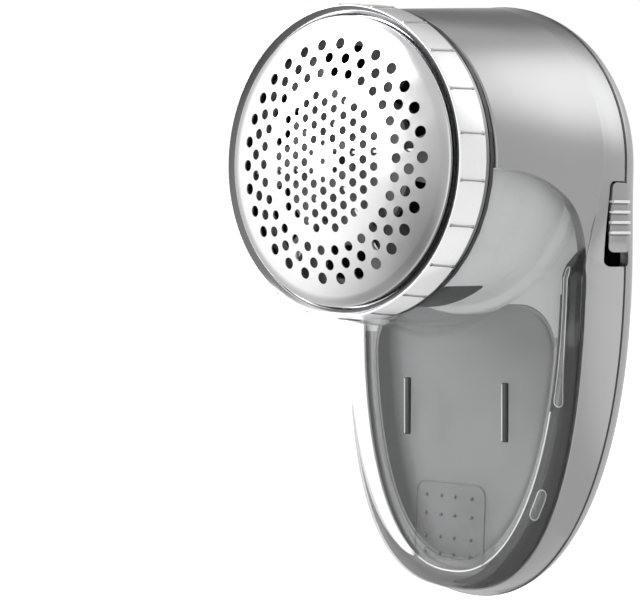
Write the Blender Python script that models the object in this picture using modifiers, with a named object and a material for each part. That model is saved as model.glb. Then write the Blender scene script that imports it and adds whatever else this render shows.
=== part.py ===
"""Hand-held fabric shaver, standing on its toe with the cutting head at the top.

Every piece is modelled in the head frame: origin at the foil's crown, X to the
switch side, Y backwards into the body ("depth") and Z up the handle ("height").
One empty carries that frame to its place in the world. All dimensions are in
millimetres and become metres when a mesh is made.
"""

from math import atan2, cos, hypot, pi, radians, sin

import bmesh
import bpy
from mathutils import Vector
from mathutils.geometry import delaunay_2d_cdt

MM = 0.001
GAP = 0.3

# Place of the foil's crown in the world
HEAD_X = -0.42
HEAD_Y = -35.87
HEAD_Z = 98.5

# The handle's planes lean with its height by this much depth
LEAN = 0.0524

# Casing: a round barrel for the head, widening into an egg outline at the seam
BARREL_FRONT = 15.4
BARREL_FRONT_RADIUS = 34.0
SEAM_DEPTH = 56.07
SEAM_RADIUS = 38.4
HEAD_DROP = -0.8
EDGE_DEPTH = 49.0
FACE_DEPTH = 47.2
WAIST_HEIGHT = -25.0
WAIST_EASE = 8.0  # length over which the barrel slopes out to the handle's edge
SEAM_EGG = (38.95, 73.5, 2.25)
EDGE_EGG = (33.6, 71.1, 2.65)
RIM_EGG = (28.6, 67.0, 2.3)
WALL = 2.0
COVER_DEPTH = 14.5
COVER_ROUNDING = 22.0
CROWN_STEPS = 12
FLANK_STEPS = 4
TOE_STEPS = 11

# Side of the head the lint box closes, its wall, and the pocket behind it
LID_HEIGHT = 12.0
BOX_WALL = 1.6
BOX_TOP_REACH = 32.6
BOX_TOP_RISE = 23.0
BOX_TOP_POWER = 2.1
BOX_FLANGE = 0.9
BOX_FILLET = 11.0
POCKET_EGG = (26.6, 64.6, 2.3)
POCKET_TOP = -40.0
POCKET_DEPTH = 6.0
POCKET_WALL = 1.1
GRIP_BAR_X = 14.1
GRIP_BAR_TOP = -48.2
GRIP_BAR_FOOT = -60.2
GRIP_PAD_HALF_WIDTH = 9.8
GRIP_PAD_TOP = -71.6
GRIP_PAD_FOOT = -87.6

# Foil
DOME_RATE = 0.004448
FOIL_RADIUS = 30.9
FOIL_THICKNESS = 0.35
FOIL_SKIRT_DEPTH = 7.0
FOIL_FLANGE_RADIUS = 31.5
HOLE_PITCH = 3.1
HOLE_RINGS = ((18.76, 0.0, 1.05), (21.79, 6.0, 1.15), (24.75, 0.0, 1.25))
HOLES_PER_RING = 30
HOLE_SIDES = 5

# Guard ring, seal and cutter chamber
RING_FRONT = 4.5
RING_BACK = 13.6
RING_RIBS = 22
RING_STEPS = 44
CHAMBER_RADIUS = 31.4
CHAMBER_BORE = 29.9
CHAMBER_FRONT = 7.9
CHAMBER_FLOOR = 34.0
CHAMBER_BACK = 49.0
OUTLET_FRONT = 19.0
OUTLET_BACK = 32.6
OUTLET_HALF_WIDTH = 15.0

# Rotor
ROTOR_RADIUS = 28.0
ROTOR_FRONT = 7.4
ROTOR_THICKNESS = 1.4
BLADE_COUNT = 6
BLADE_INNER = 5.2
BLADE_OUTER = 26.6
BLADE_THICKNESS = 0.5
BLADE_OFFSET = 1.6
BLADE_CLEARANCE = 0.35
WINDOW_INNER = 17.6
WINDOW_OUTER = 24.8
WINDOW_HALF_ANGLE = 17.0

# Motor
MOTOR_RADIUS = 12.2
MOTOR_FRONT = 22.0
MOTOR_CAN_LENGTH = 28.0
MOTOR_BELL_LENGTH = 3.0
SHAFT_RADIUS = 1.0
SHAFT_FRONT = 8.4

# Switch on the seam of the +X side: the knob's face outside, its plate and the slide switch inside
SLOT_TOP = -3.8
SLOT_FOOT = -22.4
SLOT_FRONT = 50.7
SLOT_BACK = 58.0
KNOB_TOP = -4.1
KNOB_FOOT = -19.2
KNOB_FRONT = 51.2
KNOB_BACK = 57.5
KNOB_FACE = 39.5
KNOB_RIB_HEIGHT = 0.3
KNOB_RIBS = 4
KNOB_RIB_TOP = -8.15
KNOB_RIB_PITCH = 2.25
PLATE_INNER = 31.0
PLATE_OUTER = 32.4
SLIDE_INNER = 22.1
SLIDE_OUTER = 28.1

# Power, charging and fasteners
CELL_RADIUS = 4.9
CELL_LENGTH = 44.0
CELL_X = 5.3
CELL_TOP = -33.0
BOARD_DEPTH = 62.2
BOARD_THICKNESS = 1.6
BOARD_FOOT = -30.0
LED_HEIGHT = 24.0
LED_RADIUS = 1.4
WIRE_X = 5.6
WIRE_RADIUS = 0.6
SCREW_PLACES = ((27.0, 14.4), (-27.0, 14.4), (21.9, -78.0), (-21.9, -78.0))
SCREW_HEAD_RADIUS = 2.2
SCREW_SHANK_RADIUS = 1.1
SCREW_LENGTH = 8.2
POST_LENGTH = 5.8
WELL_FLOOR = 4.4

SILVER = ((0.62, 0.62, 0.63, 1.0), 0.32, 0.85)
SMOKE = ((0.42, 0.43, 0.44, 1.0), 0.12, 0.0)
STEEL = ((0.72, 0.72, 0.73, 1.0), 0.18, 1.0)
BRIGHT = ((0.80, 0.80, 0.81, 1.0), 0.22, 0.8)
DARK = ((0.06, 0.06, 0.065, 1.0), 0.5, 0.0)
PALE = ((0.55, 0.56, 0.57, 1.0), 0.4, 0.0)
WHITE = ((0.83, 0.83, 0.81, 1.0), 0.45, 0.0)
BRASS = ((0.72, 0.55, 0.25, 1.0), 0.3, 1.0)
BOARD_GREEN = ((0.05, 0.22, 0.11, 1.0), 0.5, 0.0)
CELL_GREEN = ((0.16, 0.42, 0.22, 1.0), 0.4, 0.0)
LENS = ((0.75, 0.85, 0.75, 1.0), 0.1, 0.0)
RED = ((0.55, 0.04, 0.03, 1.0), 0.45, 0.0)
BLACK = ((0.02, 0.02, 0.02, 1.0), 0.45, 0.0)

FACING = {"front": (pi / 2, 0.0, 0.0), "back": (-pi / 2, 0.0, 0.0), "up": (0.0, 0.0, 0.0)}


# ---------------------------------------------------------------- scene and helpers


def clear_scene():
    for obj in list(bpy.data.objects):
        bpy.data.objects.remove(obj, do_unlink=True)


def new_collection(name):
    collection = bpy.data.collections.new(name)
    bpy.context.scene.collection.children.link(collection)
    return collection


def new_empty(name, location, parent=None):
    empty = bpy.data.objects.new(name, None)
    empty.location = Vector(location) * MM
    empty.empty_display_size = 10 * MM
    empty.parent = parent
    parts.objects.link(empty)
    return empty


def new_material(name, look):
    colour, roughness, metallic = look
    material = bpy.data.materials.new(name)
    material.use_nodes = True
    shader = material.node_tree.nodes["Principled BSDF"]
    shader.inputs["Base Color"].default_value = colour
    shader.inputs["Roughness"].default_value = roughness
    shader.inputs["Metallic"].default_value = metallic
    material.diffuse_color = colour
    return material


def as_object(name, mesh, look, parent, location=(0, 0, 0), rotation=(0, 0, 0)):
    """Wrap a mesh as a part, or as a hidden cutter when it has no look."""
    obj = bpy.data.objects.new(name, mesh)
    obj.location = Vector(location) * MM
    obj.rotation_euler = rotation
    obj.parent = parent
    if look is None:
        cutters.objects.link(obj)
        obj.hide_render = True
        obj.display_type = "WIRE"
        return obj
    parts.objects.link(obj)
    if mesh.polygons:
        mesh.shade_smooth()
        mesh.set_sharp_from_angle(angle=radians(32))
    mesh.materials.append(new_material(name, look))
    return obj


def mesh_of(name, build):
    """A mesh made by a function that fills a bmesh, with its faces turned outwards."""
    work = bmesh.new()
    build(work)
    bmesh.ops.recalc_face_normals(work, faces=work.faces)
    mesh = bpy.data.meshes.new(name)
    work.to_mesh(mesh)
    work.free()
    return mesh


def loft_mesh(name, rings, cap_first=True, cap_last=True):
    """Closed rings of equal length joined by side faces, with flat ends."""

    def build(work):
        rows = [[work.verts.new(Vector(p) * MM) for p in ring] for ring in rings]
        count = len(rings[0])
        for near, far in zip(rows, rows[1:]):
            for i in range(count):
                j = (i + 1) % count
                work.faces.new((near[i], near[j], far[j], far[i]))
        if cap_first:
            work.faces.new(rows[0])
        if cap_last:
            work.faces.new(rows[-1])
        bmesh.ops.remove_doubles(work, verts=work.verts, dist=1e-6)

    return mesh_of(name, build)


def box_mesh(name, low, high):
    def build(work):
        bmesh.ops.create_cube(work, size=1.0)
        size = Vector(high) - Vector(low)
        middle = (Vector(high) + Vector(low)) / 2
        for vert in work.verts:
            vert.co = Vector(c * s + m for c, s, m in zip(vert.co, size, middle)) * MM

    return mesh_of(name, build)


def box(name, low, high, look, parent):
    return as_object(name, box_mesh(name, low, high), look, parent)


def round_corners(obj, width):
    rounding = obj.modifiers.new("rounded_corners", "BEVEL")
    rounding.width = width * MM
    rounding.segments = 2


def turned(name, profile, steps, look, parent, location=(0, 0, 0), facing="front"):
    """Turn (radius, height) points; a ring is closed, and a solid starts and ends on the axis."""
    mesh = bpy.data.meshes.new(name)
    points = [Vector((radius, 0.0, height)) * MM for radius, height in profile]
    edges = [(i, i + 1) for i in range(len(points) - 1)]
    if profile[0][0] > 0:
        edges.append((len(points) - 1, 0))
    mesh.from_pydata(points, edges, [])
    obj = as_object(name, mesh, look, parent, location, FACING[facing])
    screw = obj.modifiers.new("turn", "SCREW")
    screw.steps = steps
    screw.render_steps = steps
    screw.use_merge_vertices = True
    screw.merge_threshold = 1e-6
    screw.use_smooth_shade = True
    return obj


def front_turned(name, profile, steps, look, parent):
    """Turn (radius, depth) points about the head axis."""
    return turned(name, [(radius, -depth) for radius, depth in profile], steps, look, parent)


def cylinder(name, radius, low, high, steps, look, parent, place=(0, 0, 0), facing="front"):
    profile = ((0, high), (radius, high), (radius, low), (0, low))
    return turned(name, profile, steps, look, parent, place, facing)


def boolean(target, other, operation):
    modifier = target.modifiers.new(operation.lower() + "_" + other.name, "BOOLEAN")
    modifier.operation = operation
    modifier.object = other
    modifier.solver = "EXACT"


def cut(target, *tools):
    for tool in tools:
        boolean(target, tool, "DIFFERENCE")


def join(target, *others):
    for other in others:
        boolean(target, other, "UNION")


def wire(name, points, radius, look, parent):
    curve = bpy.data.curves.new(name, "CURVE")
    curve.dimensions = "3D"
    curve.bevel_depth = radius * MM
    curve.bevel_resolution = 2
    curve.use_fill_caps = True
    spline = curve.splines.new("POLY")
    spline.points.add(len(points) - 1)
    for place, point in zip(spline.points, points):
        place.co = (*(Vector(point) * MM), 1.0)
    obj = bpy.data.objects.new(name, curve)
    obj.parent = parent
    parts.objects.link(obj)
    curve.materials.append(new_material(name, look))
    return obj


def smooth_path(corners, samples):
    """Points along a quadratic B-spline through the corners' midpoints, ends included."""
    corners = [Vector(c) for c in corners]
    mids = [corners[0]] + [(a + b) / 2 for a, b in zip(corners[1:-2], corners[2:-1])] + [corners[-1]]
    path = [mids[0]]
    for start, handle, end in zip(mids, corners[1:-1], mids[1:]):
        for i in range(1, samples + 1):
            t = i / samples
            path.append(start * (1 - t) ** 2 + handle * 2 * t * (1 - t) + end * t * t)
    return path


# ---------------------------------------------------------------- body outlines


def barrel_radius(depth):
    share = (depth - BARREL_FRONT) / (SEAM_DEPTH - BARREL_FRONT)
    return BARREL_FRONT_RADIUS + (SEAM_RADIUS - BARREL_FRONT_RADIUS) * share


def superellipse(half_width, drop, power, share):
    """Point at a share of the quarter turn from the waist down to the toe."""
    angle = pi / 2 * share
    x = half_width * abs(cos(angle)) ** (2 / power)
    z = WAIST_HEIGHT - drop * abs(sin(angle)) ** (2 / power)
    return x, z


def egg_half(crown, egg):
    """(x, z) points from the crown of the head down the +X side to the toe."""
    half_width, drop, power = egg
    points = []
    for i in range(CROWN_STEPS):
        angle = pi / 2 * (1 - i / CROWN_STEPS)
        points.append((crown * cos(angle), crown * sin(angle) + HEAD_DROP))
    for i in range(FLANK_STEPS):
        share = i / FLANK_STEPS
        ease = share * share * (3 - 2 * share)
        x = crown + (half_width - crown) * ease
        points.append((x, HEAD_DROP + (WAIST_HEIGHT - HEAD_DROP) * share))
    for i in range(TOE_STEPS + 1):
        points.append(superellipse(half_width, drop, power, i / TOE_STEPS))
    return points


def circle_half(radius, centre_height):
    """The same number of points as egg_half, round a half circle."""
    points = []
    for i in range(CROWN_STEPS):
        angle = pi / 2 * (1 - i / CROWN_STEPS)
        points.append((radius * cos(angle), radius * sin(angle) + centre_height))
    rest = FLANK_STEPS + TOE_STEPS
    for i in range(rest + 1):
        angle = -pi / 2 * i / rest
        points.append((radius * cos(angle), radius * sin(angle) + centre_height))
    return points


def mirrored(half):
    """Close a half outline that starts and ends on the plane of symmetry."""
    start = 1 if half[0][0] < 1e-9 else 0
    stop = len(half) - 1 if half[-1][0] < 1e-9 else len(half)
    return half + [(-x, z) for x, z in reversed(half[start:stop])]


def on_leaning_plane(half, depth, lean=LEAN):
    return [(x, depth + lean * z, z) for x, z in mirrored(half)]


def inset_egg(egg, inset):
    return (egg[0] - inset, egg[1] - inset, egg[2])


def casing_rings(inset, front, step_depth, back, ease=0.0):
    """Outer surface of the casing, or its cavity when inset; ease slopes the step where the barrel widens."""
    step_radius = barrel_radius(EDGE_DEPTH) - inset
    return [
        on_leaning_plane(circle_half(barrel_radius(front) - inset, 0.0), front, 0.0),
        on_leaning_plane(circle_half(step_radius, HEAD_DROP), step_depth - ease),
        on_leaning_plane(egg_half(step_radius, inset_egg(EDGE_EGG, inset)), step_depth),
        on_leaning_plane(egg_half(SEAM_RADIUS - inset, inset_egg(SEAM_EGG, inset)), back),
    ]


def cover_rings(inset, depths):
    """Rings of the rear cover: an elliptical shoulder round a flat back."""
    rings = []
    for share in depths:
        angle = pi / 2 * share
        drawn_in = COVER_ROUNDING * (1 - cos(angle))
        egg = egg_half(SEAM_RADIUS - inset, inset_egg(SEAM_EGG, inset))
        wide = 1 - drawn_in / SEAM_EGG[0]
        tall = 1 - drawn_in / (SEAM_EGG[1] - 4.0)
        half = [(x * wide, WAIST_HEIGHT + (z - WAIST_HEIGHT) * tall) for x, z in egg]
        rings.append(on_leaning_plane(half, SEAM_DEPTH + GAP + (COVER_DEPTH - GAP) * sin(angle)))
    return rings


def box_top_profile(clearance):
    """Side view (depth, height) of the curve where the lint box meets the casing."""
    steps = 12
    curve = []
    for i in range(steps + 1):
        angle = pi / 2 * (1 - i / steps)
        depth = BARREL_FRONT + BOX_TOP_REACH * cos(angle) ** (2 / BOX_TOP_POWER)
        height = WAIST_HEIGHT + (BOX_TOP_RISE + clearance) * sin(angle) ** (2 / BOX_TOP_POWER)
        curve.append((depth, height))
    return curve


def side_prism(name, profile):
    """A cutter right across the body with a (depth, height) outline."""
    rings = [[(x, depth, height) for depth, height in profile] for x in (-50.0, 50.0)]
    return as_object(name, loft_mesh(name, rings), None, head)


def egg_prism(name, egg, front, back, top):
    """A cutter: the part of an egg below a height, between two leaning planes."""
    half = [(0.0, top)]
    for i in range(TOE_STEPS + 1):
        x, z = superellipse(*egg, i / TOE_STEPS)
        if z < top - 0.5:
            if len(half) == 1:
                half.append((x, top))
            half.append((x, z))
    rings = [on_leaning_plane(half, depth) for depth in (front, back)]
    return as_object(name, loft_mesh(name, rings), None, head)


# ---------------------------------------------------------------- casing


def switch_slot():
    slot = box("switch_slot", (34.0, SLOT_FRONT, SLOT_FOOT), (42.0, SLOT_BACK, SLOT_TOP), None, head)
    round_corners(slot, 1.0)
    return slot


def main_housing(slot):
    outer = casing_rings(0.0, BARREL_FRONT, EDGE_DEPTH, SEAM_DEPTH, WAIST_EASE)
    housing = as_object("main_housing", loft_mesh("main_housing", outer), SILVER, head)
    inner = casing_rings(WALL, BARREL_FRONT, EDGE_DEPTH + WALL, SEAM_DEPTH + 2)
    inner[0] = [(x, y - 3.0, z) for x, y, z in inner[0]]
    cavity = as_object("housing_cavity", loft_mesh("housing_cavity", inner), None, head)
    curve = box_top_profile(0.0)
    below = [(10.0, curve[0][1])] + curve
    below.append((EDGE_DEPTH + LEAN * -110.0 - 0.05, -110.0))
    below.append((10.0, -110.0))
    room = side_prism("lint_box_room", below)
    back = EDGE_DEPTH + POCKET_DEPTH
    wider = (POCKET_EGG[0] + POCKET_WALL, POCKET_EGG[1] + POCKET_WALL, POCKET_EGG[2])
    shell = egg_prism("pocket_shell", wider, EDGE_DEPTH + 0.7, back + POCKET_WALL, POCKET_TOP + POCKET_WALL)
    pocket = egg_prism("lint_pocket", POCKET_EGG, EDGE_DEPTH - 2, back, POCKET_TOP)
    posts = []
    holes = []
    for i, (x, z) in enumerate(SCREW_PLACES):
        seam = SEAM_DEPTH + LEAN * z
        start = seam - POST_LENGTH
        place = (x, 0, z)
        posts.append(cylinder(f"post_{i + 1}", 2.4, GAP / 2 - seam, -start, 14, None, head, place))
        if z > 0:
            outer_x = x + 5.6 if x > 0 else x - 5.6
            low = (min(x, outer_x), start, z - 0.9)
            high = (max(x, outer_x), seam - GAP / 2, z + 0.9)
            posts.append(box(f"post_web_{i + 1}", low, high, None, head))
        holes.append(cylinder(f"post_hole_{i + 1}", 1.3, -seam - 3, -start - 1.2, 10, None, head, place))
    cut(housing, cavity)
    join(housing, shell, *posts)
    cut(housing, room, pocket, slot, *holes)
    return housing


def rear_cover(slot):
    shares = (0.0, 0.22, 0.46, 0.72, 1.0)
    cover = as_object("rear_cover", loft_mesh("rear_cover", cover_rings(0.0, shares)), SILVER, head)
    inner = [
        [(x, y - WALL * share, z) for x, y, z in ring]
        for share, ring in zip(shares, cover_rings(WALL, shares))
    ]
    inner[0] = [(x, y - 2.0, z) for x, y, z in inner[0]]
    cavity = as_object("cover_cavity", loft_mesh("cover_cavity", inner), None, head)
    cut(cover, cavity)
    for i, (x, z) in enumerate(SCREW_PLACES):
        seam = SEAM_DEPTH + LEAN * z
        place = (x, 0, z)
        tube = cylinder(f"tube_{i + 1}", 3.4, -seam - 6.3, -seam - 0.6, 18, None, head, place)
        well = cylinder(f"well_{i + 1}", 2.6, -seam - 20, -seam - WELL_FLOOR, 16, None, head, place)
        bore = cylinder(f"bore_{i + 1}", 1.4, -seam - 9, 2 - seam, 10, None, head, place)
        join(cover, tube)
        cut(cover, well, bore)
    port = box("port_hole", (-4.7, 55.4, -104.0), (4.7, 59.2, -88.0), None, head)
    led_hole = cylinder("led_hole", LED_RADIUS + GAP, -80.0, -60.0, 16, None, head, (0, 0, LED_HEIGHT))
    cut(cover, slot, port, led_hole)
    return cover


# ---------------------------------------------------------------- lint box


def toe_radius(egg, angle):
    """Distance from the head axis to an egg outline, at an angle from straight down.

    The outline is walked from the waist to the toe, and the last point at or
    beyond the angle is taken. Above the waist there is none, and it gives 0.
    """
    steps = 400
    reach = 0.0
    for i in range(steps + 1):
        x, z = superellipse(*egg, i / steps)
        if atan2(x, HEAD_DROP - z) >= angle:
            reach = hypot(x, z - HEAD_DROP)
    return reach


def box_angles():
    """Angles from straight down to the side: close together across the narrow toe."""
    return [90.0 * (i / 26) ** 1.35 for i in range(27)]


def box_ring(depth, reach, lean):
    """A ring about the head axis; reach gives the radius at an angle from straight down."""
    half = []
    for degrees in reversed(box_angles()):
        angle = radians(degrees)
        radius = reach(angle)
        half.append((radius * sin(angle), HEAD_DROP - radius * cos(angle)))
    points = [(x, depth + lean * z, z) for x, z in half]
    left = [(-x, y, z) for x, y, z in reversed(points[:-1])]
    return points + left + [(-half[0][0], depth, LID_HEIGHT), (half[0][0], depth, LID_HEIGHT)]


def lint_box_mesh(name, inset, front, face_depth, back_depth, flange):
    rim = {radians(a): toe_radius(inset_egg(RIM_EGG, inset), radians(a)) for a in box_angles()}
    edge = {radians(a): toe_radius(EDGE_EGG, radians(a)) for a in box_angles()}
    rings = [box_ring(front, lambda a: barrel_radius(front) - inset, 0.0)]
    fillet = BOX_FILLET - inset
    for turn in (0, 25, 45, 62, 76, 90):
        depth = face_depth - fillet * (1 - sin(radians(turn)))
        grown = fillet * (1 - cos(radians(turn)))
        plain = barrel_radius(depth) - inset
        lean = LEAN * (turn + 20) / 110
        rings.append(box_ring(depth, lambda a: max(plain, min(plain + grown, rim[a])), lean))
    plain = barrel_radius(face_depth) - inset
    rings.append(box_ring(face_depth + 0.01, lambda a: max(plain, rim[a]), LEAN))
    if flange:
        for depth in (back_depth - BOX_FLANGE, back_depth):
            rings.append(box_ring(depth, lambda a: max(plain, edge[a]), LEAN))
    else:
        rings.append(box_ring(back_depth, lambda a: max(plain, rim[a]), LEAN))
    return loft_mesh(name, rings)


def lint_box():
    back = EDGE_DEPTH - GAP
    outer = lint_box_mesh("lint_box", 0.0, BARREL_FRONT, FACE_DEPTH, back, True)
    part = as_object("lint_box", outer, SMOKE, head)
    inner = lint_box_mesh("box_cavity", BOX_WALL, 10.0, FACE_DEPTH + BOX_WALL, back + 3, False)
    cavity = as_object("box_cavity", inner, None, head)
    above = [(5.0, 60.0)] + [(5.0, box_top_profile(-GAP)[0][1])] + box_top_profile(-GAP)
    above += [(EDGE_DEPTH + 6, WAIST_HEIGHT - 0.02), (EDGE_DEPTH + 6, 60.0)]
    lid = side_prism("casing_side_of_box", above)
    for sign, side in ((1, "right"), (-1, "left")):
        x = sign * GRIP_BAR_X
        depth = FACE_DEPTH + LEAN * (GRIP_BAR_TOP + GRIP_BAR_FOOT) / 2
        low = (x - 0.5, depth - 0.9, GRIP_BAR_FOOT)
        high = (x + 0.5, depth + 0.8, GRIP_BAR_TOP)
        join(part, box("grip_bar_" + side, low, high, None, head))
    cut(part, cavity, lid)
    pad_depth = FACE_DEPTH + LEAN * GRIP_PAD_TOP
    pad_low = (-GRIP_PAD_HALF_WIDTH, pad_depth - 1.25, GRIP_PAD_FOOT)
    pad_high = (GRIP_PAD_HALF_WIDTH, pad_depth + 0.7, GRIP_PAD_TOP)
    join(part, box("grip_pad", pad_low, pad_high, None, head))
    return part


# ---------------------------------------------------------------- cutting head


def foil_holes():
    """(x, z, radius) of every hole in the foil."""
    holes = [(0.0, 0.0, 0.68)]
    for i in range(6):
        angle = radians(30 + 60 * i)
        holes.append((3.84 * cos(angle), 3.84 * sin(angle), 0.68))
    for i in range(-5, 6):
        for j in range(-5, 6):
            x = HOLE_PITCH * cos(radians(30)) * j
            z = HOLE_PITCH * (i + 0.5 * j)
            if 1.2 * HOLE_PITCH < hypot(x, z) <= 4.7 * HOLE_PITCH:
                holes.append((x, z, 0.95))
    for ring_radius, offset, radius in HOLE_RINGS:
        for i in range(HOLES_PER_RING):
            angle = radians(offset + 360 * i / HOLES_PER_RING)
            holes.append((ring_radius * cos(angle), ring_radius * sin(angle), radius))
    return holes


def circle_points(x, z, radius, count):
    turns = [2 * pi * i / count for i in range(count)]
    return [Vector((x + radius * cos(t), z + radius * sin(t))) for t in turns]


def foil():
    """A perforated dome whose rim is folded back into a short skirt and a flange."""
    rim_count = 48
    holes = foil_holes()
    points = circle_points(0, 0, FOIL_RADIUS - 0.5, rim_count)
    edges = [(i, (i + 1) % rim_count) for i in range(rim_count)]
    for x, z, radius in holes:
        start = len(points)
        points += circle_points(x, z, radius, HOLE_SIDES)
        edges += [(start + i, start + (i + 1) % HOLE_SIDES) for i in range(HOLE_SIDES)]
    points += circle_points(0, 0, 28.2, rim_count // 2)
    flat = delaunay_2d_cdt(points, edges, [], 1, 1e-5)

    def in_a_hole(face):
        middle = sum((flat[0][i] for i in face), Vector((0, 0))) / len(face)
        return any(hypot(middle.x - x, middle.y - z) < radius * 0.8 for x, z, radius in holes)

    def build(work):
        verts = [
            work.verts.new(Vector((p.x, DOME_RATE * p.length_squared, p.y)) * MM) for p in flat[0]
        ]
        for face in flat[2]:
            if not in_a_hole(face):
                work.faces.new([verts[i] for i in face])
        ring = verts[:rim_count]
        rim_depth = DOME_RATE * FOIL_RADIUS**2
        skirt = (
            (FOIL_RADIUS, rim_depth + 0.45),
            (FOIL_RADIUS, FOIL_SKIRT_DEPTH),
            (FOIL_FLANGE_RADIUS, FOIL_SKIRT_DEPTH + 0.15),
        )
        for radius, depth in skirt:
            places = circle_points(0, 0, radius, rim_count)
            outer = [work.verts.new(Vector((p.x, depth, p.y)) * MM) for p in places]
            for i in range(rim_count):
                j = (i + 1) % rim_count
                work.faces.new((ring[i], ring[j], outer[j], outer[i]))
            ring = outer

    mesh = mesh_of("foil", build)
    part = as_object("foil", mesh, STEEL, head)
    shell = part.modifiers.new("sheet", "SOLIDIFY")
    shell.thickness = FOIL_THICKNESS * MM
    shell.offset = -1.0
    shell.use_even_offset = True
    return part


def foil_carrier():
    profile = (
        (28.9, 5.9),
        (30.2, 5.9),
        (30.2, 7.2),
        (31.2, 7.75),
        (28.9, 7.75),
    )
    return front_turned("foil_carrier", profile, 40, DARK, head)


def guard_ring(parent):
    profile = (
        (31.2, RING_FRONT),
        (32.7, RING_FRONT),
        (33.1, RING_FRONT + 0.35),
        (33.7, RING_BACK - 1.4),
        (33.4, RING_BACK - 1.2),
        (33.4, RING_BACK),
        (31.8, RING_BACK),
        (31.8, RING_FRONT + 2.3),
        (31.2, RING_FRONT + 2.1),
    )
    ring = front_turned("guard_ring", profile, RING_STEPS, BRIGHT, parent)

    def build(work):
        for i in range(RING_RIBS):
            angle = pi / 2 + 2 * pi * i / RING_RIBS
            corners = []
            for reach, depth in ((32.4, 5.2), (33.3, 5.2), (34.05, 12.0), (32.9, 12.0)):
                for side in (-0.32, 0.32):
                    x = reach * cos(angle) - side * sin(angle)
                    z = reach * sin(angle) + side * cos(angle)
                    corners.append(work.verts.new(Vector((x, depth, z)) * MM))
            a, b, c, d, e, f, g, h = corners
            for face in ((a, c, e, g), (b, h, f, d), (a, b, d, c), (c, d, f, e), (e, f, h, g), (g, h, b, a)):
                work.faces.new(face)

    ribs = as_object("ring_ribs", mesh_of("ring_ribs", build), None, parent)
    join(ring, ribs)
    return ring


def head_seal():
    profile = ((31.9, 13.9), (33.5, 13.9), (33.5, 15.0), (31.9, 15.0))
    return front_turned("head_seal", profile, 40, DARK, head)


def cutter_chamber():
    pocket = MOTOR_RADIUS + 0.4
    profile = (
        (CHAMBER_BORE, CHAMBER_FRONT + 0.3),
        (CHAMBER_RADIUS, CHAMBER_FRONT + 0.3),
        (CHAMBER_RADIUS, CHAMBER_BACK - 1.8),
        (33.4, CHAMBER_BACK - 1.6),
        (33.4, CHAMBER_BACK),
        (CHAMBER_BORE, CHAMBER_BACK),
        (CHAMBER_BORE, CHAMBER_FLOOR + 1.6),
        (pocket + 4.2, CHAMBER_FLOOR + 1.6),
        (pocket, CHAMBER_FLOOR - 1.0),
        (pocket, MOTOR_FRONT - GAP),
        (3.6, MOTOR_FRONT - GAP),
        (3.6, MOTOR_FRONT - 1.9),
        (pocket + 1.0, MOTOR_FRONT - 1.9),
        (pocket + 4.8, CHAMBER_FLOOR),
        (CHAMBER_BORE, CHAMBER_FLOOR),
    )
    part = front_turned("cutter_chamber", profile, 36, PALE, head)
    low = (-OUTLET_HALF_WIDTH, OUTLET_FRONT, -40.0)
    high = (OUTLET_HALF_WIDTH, OUTLET_BACK, -22.0)
    holes = [
        cylinder(f"motor_screw_hole_{i + 1}", 1.35, -24.0, -18.0, 10, None, head, (x, 0, 0))
        for i, x in enumerate((8.0, -8.0))
    ]
    cut(part, box("outlet_cut", low, high, None, head), *holes)
    return part


def rotor_disc(parent):
    back = ROTOR_FRONT + ROTOR_THICKNESS
    profile = (
        (2.3, ROTOR_FRONT - 3.0),
        (4.2, ROTOR_FRONT - 2.6),
        (4.4, ROTOR_FRONT),
        (ROTOR_RADIUS, ROTOR_FRONT),
        (ROTOR_RADIUS, back),
        (5.2, back),
        (5.2, back + 2.2),
        (2.3, back + 2.2),
    )
    disc = front_turned("rotor_disc", profile, 36, WHITE, parent)
    windows = []
    for i in range(BLADE_COUNT):
        middle = 60 * i + 30
        turns = [middle + WINDOW_HALF_ANGLE * (k / 3 - 1) for k in range(7)]
        outline = [(WINDOW_OUTER, radians(t)) for t in turns]
        outline += [(WINDOW_INNER, radians(t)) for t in reversed(turns)]
        rings = [
            [(r * cos(t), depth, r * sin(t)) for r, t in outline]
            for depth in (ROTOR_FRONT - 2, back + 2)
        ]
        windows.append(as_object(f"window_{i + 1}", loft_mesh("window", rings), None, parent))
    cut(disc, *windows)
    for i in range(BLADE_COUNT):
        low = (13.0, ROTOR_FRONT - 2.4, BLADE_OFFSET + 0.5)
        high = (16.6, ROTOR_FRONT + 0.5, BLADE_OFFSET + 2.2)
        post = box(f"blade_post_{i + 1}", low, high, None, parent)
        post.rotation_euler = (0.0, radians(-60 * i), 0.0)
        join(disc, post)
    return disc


def blade(number, parent):
    """A thin plate let into the disc, whose cutting edge follows the inside of the foil."""
    steps = 5
    edge = []
    for i in range(steps + 1):
        x = BLADE_INNER + (BLADE_OUTER - BLADE_INNER) * i / steps
        reach = hypot(x, BLADE_OFFSET + BLADE_THICKNESS)
        edge.append((x, DOME_RATE * reach**2 + FOIL_THICKNESS + BLADE_CLEARANCE))
    foot = ROTOR_FRONT - 0.1
    outline = edge + [(BLADE_OUTER, foot), (BLADE_INNER, foot)]
    sides = (BLADE_OFFSET - BLADE_THICKNESS / 2, BLADE_OFFSET + BLADE_THICKNESS / 2)
    rings = [[(x, depth, side) for x, depth in outline] for side in sides]
    name = f"blade_{number}"
    part = as_object(name, loft_mesh(name, rings), STEEL, parent)
    part.rotation_euler = (0.0, radians(-60 * (number - 1)), 0.0)
    return part


def drive_hub(parent):
    profile = (
        (SHAFT_RADIUS + 0.05, 9.6),
        (2.0, 9.6),
        (2.0, 14.6),
        (4.6, 15.0),
        (4.6, 17.2),
        (SHAFT_RADIUS + 0.05, 17.2),
    )
    return front_turned("drive_hub", profile, 20, DARK, parent)


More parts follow.
